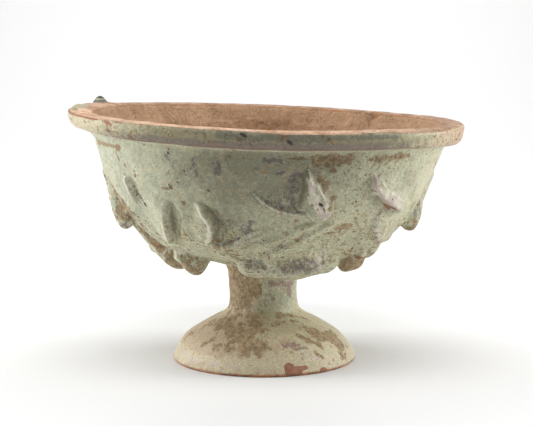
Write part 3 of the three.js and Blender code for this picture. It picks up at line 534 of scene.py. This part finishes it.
# hand strokes make every line of the relief waver a little
wob = np.stack([noise(P, 11, s) for s in (3, 4, 5)], -1) * 0.9 + np.stack([noise(P, 4.5, s) for s in (6, 7, 8)], -1) * 0.35
Pw = P + wob
rise, cutting = np.zeros(len(wi)), np.zeros(len(wi))
for line, high, soft, sharp, turn, cut, reach in CRESTS:
    pts = line_on_wall(line)
    idx, d, t, side = nearest(pts, Pw, N, max(2.4 * soft, sharp + 2.4 * reach))
    gentle = side == turn
    ends = smooth(np.minimum(t * 5, (1 - t) * 6))
    lens = np.sin(math.pi * np.clip(t, 0.0, 1.0)) ** 0.7
    drop = smooth(d / sharp)
    body = np.where(gentle, np.exp(-((d / soft) ** 1.5)), 1 - drop)
    rise[idx] = np.maximum(rise[idx], high * body * ends)
    sunk = np.where(gentle, 0, drop * np.exp(-((np.maximum(d - sharp, 0) / (reach * (0.3 + 0.7 * lens))) ** 2)) * lens)
    cutting[idx] = np.maximum(cutting[idx], cut * sunk)
    face = np.where(gentle, 0, smooth(d / (0.5 * sharp)) * np.exp(-((np.maximum(d - sharp, 0) / (reach * (0.3 + 0.7 * lens))) ** 2)) * lens)
    hollow_dirt_and_shade[idx] = np.maximum(hollow_dirt_and_shade[idx], face * min(1, cut / 3.0))
    crease_dirt_and_shade[idx] = np.maximum(crease_dirt_and_shade[idx], np.where(gentle, 0, np.exp(-(((d - 1.2 * sharp) / 0.9) ** 2))) * lens * min(1, cut / 3.0))
    worn[idx] = np.maximum(worn[idx], np.where(gentle, np.exp(-((d / (0.16 * soft)) ** 2)), 1 - smooth(d / (0.3 * sharp))) * ends * min(1, high / 4.5))
h += rise - cutting
for line, depth, wide in HOLLOWS:
    pts = line_on_wall(line)
    idx, d, t, side = nearest(pts, Pw, N, 3 * wide)
    h[idx] -= depth * np.exp(-((d / wide) ** 2))
    hollow_dirt_and_shade[idx] = np.maximum(hollow_dirt_and_shade[idx], 0.7 * np.exp(-((d / wide) ** 2)) * min(1, depth / 2.5))
knob = np.zeros(len(wi))
for a, b, rad, high, droop, flatness in KNOBS:
    pts = line_on_wall([a, b])
    idx, d, t, side = nearest(pts, Pw, N, max(rad) + 2)
    r = rad[0] + (rad[1] - rad[0]) * t
    body = np.clip(1 - (d / r) ** (2 * flatness), 0, 1) ** 0.7
    knob[idx] = np.maximum(knob[idx], (high[0] + (high[1] - high[0]) * smooth(t)) * body)
    sag[idx] = np.maximum(sag[idx], droop * body * t)
    worn[idx] = np.maximum(worn[idx], body**1.5 * 0.7)
h += knob
fade = smooth((Z[wi] + FLANGE_ROOT + 1.5) / -8) * smooth((R[wi] - 31) / 12)
lumps = 0.45 * np.sin(3 * phi[wi] + 0.05 * Z[wi] + 0.4) + 0.35 * np.sin(5 * phi[wi] - 0.07 * Z[wi] + 2.1) + 0.25 * np.sin(8 * phi[wi] + 0.11 * Z[wi] + 4.0)
fine = 0.55 * fbm(P, 26, 21, 2) + 0.32 * fbm(P, 9, 31, 2) + 0.16 * noise(P, 4.2, 41)
base[wi] += N * (fade * (h + lumps) + (0.3 + 0.7 * fade) * fine)[:, None] + down[wi] * (fade * sag)[:, None]

# rim, inside, foot: hand-made unevenness
ri = np.where(zone == "rim")[0]
base[ri] += normal[ri] * (0.30 * fbm(base[ri], 22, 51, 2) + 0.22 * fbm(base[ri], 7, 61, 2))[:, None]
lipi = np.where((zone == "rim") & (R < 138) & (Z > -14))[0]
radial = turned(phi[lipi], np.ones(len(lipi)), 0 * phi[lipi])
wave = 1.3 * noise(turned(phi[lipi], 130 + 0 * phi[lipi], 0 * phi[lipi]), 21, 101) + 0.8 * noise(turned(phi[lipi], 130 + 0 * phi[lipi], 0 * phi[lipi]), 8, 102)
notch = 2.6 * np.exp(-(((phi[lipi] / RAD - 138) / 1.9) ** 2)) - 1.2 * np.exp(-(((phi[lipi] / RAD - 131) / 4) ** 2))
base[lipi] += radial * ((wave + notch) * smooth((138 - R[lipi]) / 5))[:, None]
ii = np.where(zone == "inside")[0]
swirl = np.sin(0.55 * Z[ii] + 1.3 * np.sin(phi[ii] + 0.4) + 0.9 * np.sin(2 * phi[ii] + 2))
base[ii] += normal[ii] * (0.45 * fbm(base[ii], 24, 71, 3) + 0.14 * swirl)[:, None]
fi = np.where(zone == "foot")[0]
keep_flat = smooth(Z[fi] / 5)
ff = 0.55 * fbm(base[fi], 30, 81, 2) + 0.22 * fbm(base[fi], 8, 91, 2)
base[fi] += normal[fi] * (keep_flat * ff)[:, None]

# ---------------------------------------------------------------------------
# bead of glaze and lumps at the far left of the rim
# ---------------------------------------------------------------------------
def bump(at, radius, wide, high, idx):
    c = turned(np.array([at * RAD]), np.array([radius]), np.array([0.0]))[0]
    d = np.hypot(base[idx, 0] - c[0], base[idx, 1] - c[1]) / wide
    return high * np.exp(-d**2), d


top = np.where((zone == "rim") & (Z > -3))[0]
# the points of the rim are drawn in towards the bead, so that it is round
bead = turned(np.array([-112.3 * RAD]), np.array([145.0]), np.array([0.0]))[0]
off = base[top, :2] - bead[:2]
dist = np.linalg.norm(off, axis=1)
base[top, :2] = bead[:2] + off * (1 - 0.55 * np.exp(-((dist / 9) ** 2)))[:, None]
dist = np.linalg.norm(base[top, :2] - bead[:2], axis=1)
base[top, 2] += 3.9 * np.sqrt(np.clip(1 - (dist / 5.0) ** 2, 0, 1)) + 1.6 * np.exp(-((dist / 6.5) ** 2))
in_bead = np.zeros(len(base))
in_bead[top] = np.clip(1 - dist / 8, 0, 1)
for at, rr, ww, hh in ((-84, 149, 10, 1.3), (-96, 148, 9, 1.5), (-105, 147, 6, 1.0), (-116, 146, 8, 1.2)):
    lift, dist = bump(at, rr, ww, hh, top)
    base[top, 2] += lift

# ---------------------------------------------------------------------------
# stand the bowl on its stem
# ---------------------------------------------------------------------------
warp = sum(a * np.cos(k * phi - at * RAD) for a, k, at in RIM_WARP)
# pressed in at the left under the rim, where the flange is thinner and stands out further
left = np.exp(-(((phi / RAD + 86) / 24) ** 2))
right = np.exp(-(((phi / RAD - 84) / 24) ** 2))
base[:, :2] += (turned(phi, np.ones(len(phi)), 0 * phi)[:, :2]
                * (left * np.where(wall, -3.4 * np.exp(-(((Z + 26) / 18) ** 2)), 0)
                   + right * np.where(wall, -1.8 * np.exp(-(((Z + 45) / 13) ** 2)), 0)
                   - right * np.where((zone == "rim") & (R > 138), 0.9 * smooth((R - 138) / 8), 0)
                   + left * np.where((zone == "rim") & (R > 138), 1.8 * smooth((R - 138) / 8), 0))[:, None])
base[:, 2] += np.where((zone == "rim") & (Z < -3) & (R > 134), (2.6 * left - 1.4 * right) * smooth((-3 - Z) / 6), 0)
base[:, 2] += np.where(zone == "rim", 0.9 * left * smooth((R - 136) / 8) + 0.5 * np.exp(-(((phi / RAD + 146) / 16) ** 2)), 0)
c, s = math.cos(BOWL_TILT), math.sin(BOWL_TILT)
x, y, z = base[:, 0].copy(), base[:, 1].copy(), base[:, 2].copy()
top_part = (zone == "inside") | (zone == "rim") | (zone == "wall")
zr = z + (warp * smooth(1 + z / 90) + front_wave(phi) * smooth(1 + (z + 12) / 45)) * top_part
base[:, 0] = np.where(top_part, x * c + zr * s + BOWL_SHIFT, x)
base[:, 2] = np.where(top_part, -x * s + zr * c + RIM_HEIGHT, z)
base[:, 0] -= np.where(zone == "foot", 0.55 * smooth((z - 10) / 10), 0)
k = np.where((zone == "foot") & (z > STEM_BLEND), smooth((z - STEM_BLEND) / (STEM_TOP - STEM_BLEND)), 0)
zb = z - RIM_HEIGHT
base[:, 0] += k * (x * (c - 1) + zb * s + BOWL_SHIFT)
base[:, 2] += k * (-x * s + zb * (c - 1))
base[:, 0] -= CENTRE[0]
base[:, 1] -= CENTRE[1]

# ---------------------------------------------------------------------------
# faces between neighbouring rings
# ---------------------------------------------------------------------------
quads, tris = [], []
for a in range(len(rings) - 1):
    n0, n1 = rings[a][3], rings[a + 1][3]
    i = np.arange(max(n0, n1))
    if n0 == n1:
        j = (i + 1) % n0
        quads.append(np.stack([first[a] + i, first[a + 1] + i, first[a + 1] + j, first[a] + j], -1))
    else:
        big, small, nb, ns = (first[a], first[a + 1], n0, n1) if n0 > n1 else (first[a + 1], first[a], n1, n0)
        m = np.arange(ns)
        e0, e1, e2 = big + 2 * m, big + 2 * m + 1, big + (2 * m + 2) % nb
        c0, c1 = small + m, small + (m + 1) % ns
        t3 = np.concatenate([np.stack([e0, c0, e1], -1), np.stack([e1, c0, c1], -1), np.stack([e1, c1, e2], -1)])
        if n0 < n1:
            t3 = t3[:, ::-1]
        tris.append(t3)
end_in, end_under = len(base), len(base) + 1
centre_pts = np.array([[base[first[0]:first[0] + rings[0][3], q].mean() for q in range(3)],
                       [base[first[-1]:first[-1] + rings[-1][3], q].mean() for q in range(3)]])
base = np.vstack([base, centre_pts])
for centre, a, flip in ((end_in, 0, True), (end_under, len(rings) - 1, False)):
    i = np.arange(rings[a][3])
    j = (i + 1) % rings[a][3]
    t3 = np.stack([np.full(len(i), centre), first[a] + j, first[a] + i], -1)
    tris.append(t3[:, ::-1] if flip else t3)
quads = np.concatenate(quads)
tris = np.concatenate(tris)


def make_mesh(name, verts, quads, tris):
    me = bpy.data.meshes.new(name)
    me.vertices.add(len(verts))
    me.vertices.foreach_set("co", (verts * 0.001).astype(np.float32).ravel())
    loops = np.concatenate([quads.ravel(), tris.ravel()]).astype(np.int32)
    starts = np.concatenate([np.arange(len(quads)) * 4, len(quads) * 4 + np.arange(len(tris)) * 3]).astype(np.int32)
    me.loops.add(len(loops))
    me.loops.foreach_set("vertex_index", loops)
    me.polygons.add(len(starts))
    me.polygons.foreach_set("loop_start", starts)
    me.update(calc_edges=True)
    me.validate()
    me.shade_smooth()
    return me


me = make_mesh("high_footed_bowl", base, quads, tris)
vessel = bpy.data.objects.new("high_footed_bowl", me)
bpy.context.scene.collection.objects.link(vessel)
tri_count = sum(len(p.vertices) - 2 for p in me.polygons)
print("vessel: %d points, %d triangles" % (len(me.vertices), tri_count))


worn_all = np.zeros(len(phi))
worn_all[wi] = worn
hollow_dirt_and_shade_all = np.zeros(len(phi))
hollow_dirt_and_shade_all[wi] = hollow_dirt_and_shade
crease_dirt_and_shade_all = np.zeros(len(phi))
crease_dirt_and_shade_all[wi] = crease_dirt_and_shade
fields = {"tone_and_shade": tone_and_shade, "cream": cream, "pink": pink, "redline": redline, "glazed": glazed, "topface": top_face, "orange": orange,
          "soil": soil, "plum": plum, "pits": pits, "wornmark": worn_marks, "pale": pale, "worn": worn_all, "hollow_dirt_and_shade": hollow_dirt_and_shade_all, "crease_dirt_and_shade": crease_dirt_and_shade_all, "flecks": flecks, "tan": tan, "bare": bare, "warm": warm, "rightinside": right_inside, "footedge": foot_edge, "smoothfoot": is_foot * 1.0, "beige": beige, "lippale": lip_pale, "darkglaze": dark,
          "bead": in_bead}
for label, values in fields.items():
    at = me.attributes.new(label, "FLOAT", "POINT")
    data = np.zeros(len(me.vertices), np.float32)
    data[:len(phi)] = values
    at.data.foreach_set("value", data)


# ---------------------------------------------------------------------------
# glazed earthenware
# ---------------------------------------------------------------------------
def linear(r, g, b):
    return tuple((c / 255 / 12.92 if c <= 10 else ((c / 255 + 0.055) / 1.055) ** 2.4) for c in (r, g, b)) + (1,)


mat = bpy.data.materials.new("glazed_earthenware")
mat.use_nodes = True
nt = mat.node_tree
shader = nt.nodes["Principled BSDF"]
coords = nt.nodes.new("ShaderNodeTexCoord").outputs["Object"]


def put(socket, value):
    if isinstance(value, bpy.types.NodeSocket):
        nt.links.new(value, socket)
    else:
        socket.default_value = value


def op(kind, a, b=0.0, c=0.0, clamp=False):
    n = nt.nodes.new("ShaderNodeMath")
    n.operation, n.use_clamp = kind, clamp
    for socket, value in zip(n.inputs, (a, b, c)):
        put(socket, value)
    return n.outputs[0]


def field(label):
    n = nt.nodes.new("ShaderNodeAttribute")
    n.attribute_name = label
    return n.outputs["Fac"]


def place(seed, stretch=(1, 1, 1)):
    n = nt.nodes.new("ShaderNodeMapping")
    put(n.inputs["Vector"], coords)
    n.inputs["Location"].default_value = (0.731 * seed, 1.377 * seed, 0.419 * seed)
    n.inputs["Scale"].default_value = stretch
    return n.outputs[0]


def grain(scale, detail, rough, seed, warp=0.0, stretch=(1, 1, 1)):
    n = nt.nodes.new("ShaderNodeTexNoise")
    put(n.inputs["Vector"], place(seed, stretch))
    n.inputs["Scale"].default_value = scale
    n.inputs["Detail"].default_value = detail
    n.inputs["Roughness"].default_value = rough
    n.inputs["Distortion"].default_value = warp
    return n.outputs["Fac"]


def step(x, lo, hi, top=1.0):
    n = nt.nodes.new("ShaderNodeMapRange")
    n.interpolation_type = "SMOOTHSTEP"
    put(n.inputs["Value"], x)
    n.inputs["From Min"].default_value, n.inputs["From Max"].default_value = lo, hi
    n.inputs["To Min"].default_value, n.inputs["To Max"].default_value = 0.0, top
    return n.outputs["Result"]


def blend(fac, a, b, kind="MIX"):
    n = nt.nodes.new("ShaderNodeMix")
    n.data_type, n.blend_type = "RGBA", kind
    put(n.inputs[0], fac)
    put(n.inputs[6], a)
    put(n.inputs[7], b)
    return n.outputs[2]


def around(x, amount):
    """amount times how far x is from a half"""
    return op("MULTIPLY_ADD", x, amount, -amount / 2)


def ragged(mark, edge, amount, lo=0.45, hi=0.55, top=1.0):
    return step(op("ADD", mark, around(edge, amount)), lo, hi, top)


def times(colour, value):
    """a colour times a grey value"""
    n = nt.nodes.new("ShaderNodeVectorMath")
    n.operation = "SCALE"
    put(n.inputs[0], colour)
    put(n.inputs["Scale"], value)
    return n.outputs[0]


region = grain(26, 2, 0.5, 1)
mottle = grain(85, 5, 0.62, 2, 0.3)
mid = grain(300, 4, 0.62, 3)
fine = grain(820, 3, 0.65, 4)
dust = grain(1900, 2, 0.6, 5)
edge_a = grain(150, 6, 0.68, 6, 0.4)
edge_b = grain(210, 6, 0.70, 7, 0.4)
edge_c = grain(260, 6, 0.70, 8, 0.3)
edge_d = grain(120, 5, 0.66, 9, 0.5)
edge_e = grain(380, 5, 0.72, 18, 0.3)

# the glaze
# lightness of the glaze from the tone field, which holds painted shade as well as the glaze's own tone
light = op("ADD", op("ADD", op("ADD", field("tone_and_shade"), around(region, 0.45)), around(mottle, 1.05)), around(mid, 1.10))
light = op("ADD", light, around(fine, 0.40), clamp=True)
glaze = blend(light, (0.225, 0.228, 0.162, 1), (0.520, 0.540, 0.400, 1))
ochre = step(op("ADD", grain(170, 5, 0.7, 17, 0.4), op("MULTIPLY", field("warm"), 0.16)), 0.56, 0.70, 0.60)
glaze = blend(ochre, glaze, blend(light, (0.275, 0.235, 0.150, 1), (0.520, 0.470, 0.315, 1)))
glaze = blend(op("MULTIPLY", field("warm"), 0.8), glaze, times(blend(1.0, glaze, (1.06, 1.00, 0.86, 1), "MULTIPLY"), 1.0))
glaze = blend(ragged(field("cream"), edge_d, 1.7, 0.38, 0.66, 0.85), glaze, (0.560, 0.480, 0.325, 1))
glaze = blend(ragged(field("pink"), edge_b, 1.6, 0.35, 0.70, 0.85), glaze, blend(light, (0.200, 0.165, 0.135, 1), (0.430, 0.355, 0.285, 1)))
glaze = blend(ragged(field("beige"), edge_b, 1.7, 0.34, 0.66, 0.94), glaze, blend(step(edge_c, 0.40, 0.60), (0.330, 0.205, 0.125, 1), (0.620, 0.440, 0.290, 1)))
glaze = blend(ragged(field("darkglaze"), edge_a, 1.6, 0.36, 0.64, 0.75), glaze, blend(mid, (0.085, 0.088, 0.068, 1), (0.190, 0.186, 0.140, 1)))
# painted shade and dirt: darker inside the hollows and on the steep sides of the crests
glaze = blend(ragged(field("hollow_dirt_and_shade"), edge_b, 1.5, 0.26, 0.60, 0.54), glaze, times(blend(1.0, glaze, (0.66, 0.66, 0.64, 1), "MULTIPLY"), op("MULTIPLY_ADD", edge_a, 2.2, 0.02)))
# tan freckles and brown specks
glaze = blend(ragged(field("tan"), edge_d, 2.2, 0.36, 0.62, 0.82), glaze, blend(light, (0.270, 0.195, 0.115, 1), (0.500, 0.385, 0.255, 1)))
spread = op("MULTIPLY", op("SUBTRACT", field("flecks"), 0.5), 0.10)
freckle = grain(300, 4, 0.66, 10, 0.5)
glaze = blend(step(op("ADD", op("ADD", freckle, spread), around(region, 0.30)), 0.580, 0.610, 0.85), glaze, blend(1.0, glaze, (0.66, 0.50, 0.33, 1), "MULTIPLY"))
glaze = blend(step(op("ADD", grain(520, 3, 0.6, 11), spread), 0.630, 0.665, 0.88), glaze, blend(1.0, glaze, (0.34, 0.25, 0.19, 1), "MULTIPLY"))
glaze = blend(step(grain(480, 4, 0.65, 12), 0.57, 0.64, 0.55), glaze, blend(1.0, glaze, (1.42, 1.40, 1.40, 1), "MULTIPLY"))
for seed, size, share in ((5, 90, 0.74), (6, 160, 0.74)):
    cells = nt.nodes.new("ShaderNodeTexVoronoi")
    put(cells.inputs["Vector"], place(seed))
    cells.inputs["Scale"].default_value = size
    pick = nt.nodes.new("ShaderNodeSeparateColor")
    put(pick.inputs[0], cells.outputs["Color"])
    away = op("ADD", cells.outputs["Distance"], around(edge_c, 0.9))
    rust = op("MULTIPLY", op("SUBTRACT", 1.0, step(away, 0.12, 0.18)), op("GREATER_THAN", pick.outputs[0], share))
    rust = op("MULTIPLY", rust, op("SUBTRACT", 1.0, op("MULTIPLY", field("smoothfoot"), 0.8)))
    glaze = blend(op("MULTIPLY", rust, 0.92), glaze, blend(pick.outputs[1], (0.130, 0.080, 0.045, 1), (0.330, 0.190, 0.090, 1)))
dash = step(op("ADD", grain(340, 3, 0.6, 23, 0.3, (0.75, 0.75, 1.7)), spread), 0.635, 0.665, 0.75)
glaze = blend(dash, glaze, (0.120, 0.088, 0.055, 1))
# stains, soil, worn edges and bare clay
glaze = blend(ragged(field("plum"), edge_e, 2.6, 0.46, 0.58, 0.84), glaze, blend(field("smoothfoot"), blend(light, (0.112, 0.088, 0.088, 1), (0.275, 0.212, 0.196, 1)), blend(light, (0.130, 0.075, 0.066, 1), (0.330, 0.208, 0.176, 1))))
worn_fac = ragged(op("MAXIMUM", field("wornmark"), op("MULTIPLY", field("worn"), 0.58)), edge_b, 1.7, 0.44, 0.62, 0.90)
# dark brown line in the creases at the foot of the steep sides: dirt and painted shade
glaze = blend(ragged(field("crease_dirt_and_shade"), edge_c, 1.4, 0.34, 0.62, 0.72), glaze, blend(mid, (0.110, 0.088, 0.060, 1), (0.240, 0.190, 0.130, 1)))
glaze = blend(worn_fac, glaze, blend(step(op("ADD", edge_d, op("MULTIPLY", field("warm"), 0.20)), 0.56, 0.66), (0.640, 0.610, 0.480, 1), (0.520, 0.425, 0.380, 1)))
# pale cream crest edges: partly worn glaze, partly painted highlight
glaze = blend(ragged(field("pale"), edge_c, 1.5, 0.40, 0.60, 0.88), glaze, blend(mid, (0.520, 0.500, 0.370, 1), (0.730, 0.690, 0.540, 1)))
soil_colour = blend(step(mid, 0.36, 0.64), (0.215, 0.150, 0.080, 1), (0.395, 0.288, 0.165, 1))
soil_colour = times(soil_colour, op("MULTIPLY_ADD", light, 0.45, 0.66))
soil_fac = ragged(op("ADD", op("ADD", field("soil"), 0.08), around(edge_c, 1.7)), edge_a, 1.5, 0.44, 0.56, 0.90)
glaze = blend(soil_fac, glaze, soil_colour)
glaze = blend(ragged(field("redline"), edge_c, 1.5, 0.42, 0.62, 0.85), glaze, (0.215, 0.120, 0.095, 1))
glaze = blend(ragged(field("footedge"), edge_c, 1.0, 0.44, 0.60, 0.88), glaze, blend(step(mottle, 0.42, 0.58), (0.260, 0.105, 0.060, 1), (0.560, 0.235, 0.105, 1)))
grit = step(fine, 0.34, 0.66)
glaze = times(glaze, op("MULTIPLY_ADD", grit, 0.22, 0.90))
glaze = times(glaze, op("MULTIPLY_ADD", dust, 0.30, 0.86))

# the bare clay
clay = blend(op("ADD", mottle, around(mid, 0.8), clamp=True), (0.460, 0.276, 0.160, 1), (0.640, 0.416, 0.256, 1))
clay = times(clay, op("MULTIPLY_ADD", field("rightinside"), -0.15, 1.0))
clay = blend(ragged(field("topface"), edge_b, 0.5, 0.30, 0.70), clay, times(blend(step(op("ADD", op("MULTIPLY", mottle, 0.65), op("MULTIPLY", edge_c, 0.35)), 0.40, 0.60), (0.400, 0.235, 0.145, 1), (0.590, 0.400, 0.280, 1)), op("MULTIPLY_ADD", field("lippale"), 0.60, 0.95)))
clay = blend(ragged(field("orange"), edge_c, 1.4, 0.40, 0.60, 0.8), clay, (0.430, 0.215, 0.095, 1))
clay = blend(step(grain(240, 4, 0.6, 14), 0.60, 0.70, 0.55), clay, (0.250, 0.195, 0.120, 1))
clay = blend(step(grain(480, 2, 0.5, 15), 0.70, 0.75, 0.75), clay, (0.150, 0.085, 0.055, 1))
clay = times(clay, op("MULTIPLY_ADD", fine, 0.50, 0.75))
scratch_lines = op("ABSOLUTE", op("SUBTRACT", grain(95, 5, 0.6, 19, 1.5), 0.5))
scratch = op("MULTIPLY", op("SUBTRACT", 1.0, step(scratch_lines, 0.004, 0.016)), step(grain(40, 2, 0.5, 20), 0.44, 0.56))
clay = times(clay, op("SUBTRACT", 1.0, op("MULTIPLY", scratch, 0.38)))
clay = blend(step(grain(120, 5, 0.7, 22, 0.6), 0.55, 0.66, 0.5), clay, (0.530, 0.345, 0.215, 1))
chip = blend(step(mid, 0.35, 0.65), (0.285, 0.135, 0.082, 1), (0.380, 0.190, 0.120, 1))

on_glaze = ragged(field("glazed"), edge_a, 0.9, 0.46, 0.54)
bare_fac = ragged(field("bare"), edge_c, 0.7, 0.47, 0.53)
colour = blend(on_glaze, clay, blend(bare_fac, glaze, chip))
bead_fac = step(field("bead"), 0.18, 0.34)
bead = op("ADD", field("bead"), around(mid, 0.22))
bead_colour = blend(step(bead, 0.42, 0.50), (0.160, 0.175, 0.135, 1), (0.480, 0.460, 0.290, 1))
bead_colour = blend(step(bead, 0.53, 0.60), bead_colour, (0.030, 0.036, 0.032, 1))
colour = blend(bead_fac, colour, bead_colour)

# pinholes
cells = nt.nodes.new("ShaderNodeTexVoronoi")
put(cells.inputs["Vector"], place(3))
cells.inputs["Scale"].default_value = 95
pick = nt.nodes.new("ShaderNodeSeparateColor")
put(pick.inputs[0], cells.outputs["Color"])
hole = op("MULTIPLY", op("SUBTRACT", 1.0, step(cells.outputs["Distance"], 0.055, 0.10)), op("GREATER_THAN", pick.outputs[0], 0.86))
pit = ragged(field("pits"), edge_c, 0.8, 0.44, 0.58, 0.95)
colour = blend(op("MAXIMUM", pit, op("MULTIPLY", hole, 0.85)), colour, (0.050, 0.036, 0.026, 1))
hole = op("MAXIMUM", hole, pit)

put(shader.inputs["Base Color"], colour)
rough = op("ADD", 0.52, op("MULTIPLY", op("MAXIMUM", soil_fac, op("MAXIMUM", bare_fac, op("SUBTRACT", 1.0, on_glaze))), 0.34))
rough = op("ADD", rough, around(mid, 0.25), clamp=True)
rough = op("SUBTRACT", rough, op("MULTIPLY", bead_fac, 0.38), clamp=True)
put(shader.inputs["Roughness"], rough)
shader.inputs["Specular IOR Level"].default_value = 0.38
height = op("ADD", op("MULTIPLY", fine, 0.14), op("MULTIPLY", mid, 0.40))
height = op("ADD", height, op("MULTIPLY", soil_fac, 0.25))
height = op("SUBTRACT", height, op("MULTIPLY", bare_fac, 0.5))
height = op("SUBTRACT", height, op("MULTIPLY", op("SUBTRACT", 1.0, on_glaze), 0.35))
height = op("ADD", height, op("MULTIPLY", grain(130, 8, 0.70, 16, 1.0), op("MULTIPLY", op("SUBTRACT", 1.0, on_glaze), 5.0)))
height = op("SUBTRACT", height, op("MULTIPLY", hole, 1.2))
height = op("SUBTRACT", height, op("MULTIPLY", op("MULTIPLY", scratch, op("SUBTRACT", 1.0, on_glaze)), 1.0))
bump = nt.nodes.new("ShaderNodeBump")
bump.inputs["Strength"].default_value = 0.7
bump.inputs["Distance"].default_value = 0.0017
put(bump.inputs["Height"], height)
put(shader.inputs["Normal"], bump.outputs[0])
me.materials.append(mat)

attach(vessel, "root")
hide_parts("footed_bowl")


# ---------------------------------------------------------------------------
# floor with a sweep, soft lights, camera
# ---------------------------------------------------------------------------
def sweep():
    prof = [(-3.0, 0.0), (1.6, 0.0)]
    for q in range(1, 13):
        a = q / 12 * math.pi / 2
        prof.append((1.6 + 1.2 * math.sin(a), 1.2 - 1.2 * math.cos(a)))
    prof.append((2.8, 4.0))
    v, f = [], []
    for y, z in prof:
        v += [(-4.0, y, z), (4.0, y, z)]
    for q in range(len(prof) - 1):
        f.append((2 * q, 2 * q + 1, 2 * q + 3, 2 * q + 2))
    m = bpy.data.meshes.new("floor")
    m.from_pydata(v, [], f)
    m.shade_smooth()
    o = bpy.data.objects.new("floor", m)
    bpy.context.scene.collection.objects.link(o)
    mat = bpy.data.materials.new("floor")
    mat.use_nodes = True
    b = mat.node_tree.nodes["Principled BSDF"]
    b.inputs["Base Color"].default_value = (0.78, 0.78, 0.78, 1)
    b.inputs["Roughness"].default_value = 0.9
    b.inputs["Specular IOR Level"].default_value = 0.2
    m.materials.append(mat)
    return o


sweep()


def area(name, place, aim, size, power, colour=(1, 1, 1)):
    d = bpy.data.lights.new(name, "AREA")
    d.shape = "RECTANGLE"
    d.size, d.size_y = size
    d.energy = power
    d.color = colour
    o = bpy.data.objects.new(name, d)
    o.location = place
    from mathutils import Vector
    o.rotation_euler = (Vector(aim) - Vector(place)).to_track_quat("-Z", "Y").to_euler()
    bpy.context.scene.collection.objects.link(o)
    return o


area("left_softbox", (-1.35, 0.2, 0.5), (0, 0, 0.12), (0.8, 1.0), 18.5)
area("right_softbox", (1.35, 0.2, 0.5), (0, 0, 0.12), (0.8, 1.0), 16)
area("top_softbox", (0, -0.75, 1.4), (0, 0, 0.05), (1.2, 0.9), 16)
area("backdrop_light", (0, 0.7, 1.9), (0, 2.4, 0.6), (2.4, 0.8), 56)

world = bpy.data.worlds.new("studio")
world.use_nodes = True
world.node_tree.nodes["Background"].inputs["Color"].default_value = (1, 1, 1, 1)
world.node_tree.nodes["Background"].inputs["Strength"].default_value = 0.05
bpy.context.scene.world = world

cam_data = bpy.data.cameras.new("camera")
cam_data.sensor_fit = "HORIZONTAL"
cam_data.sensor_width = 36.0
cam_data.lens = 1569.3 / 533 * 36.0
cam = bpy.data.objects.new("camera", cam_data)
cam.location = (-CENTRE[0] * 0.001, -1.2, 0.26844)
cam.rotation_euler = (math.radians(90 - 7.374), 0, -0.00163)
bpy.context.scene.collection.objects.link(cam)
bpy.context.scene.camera = cam
bpy.context.scene.view_settings.view_transform = "Standard"
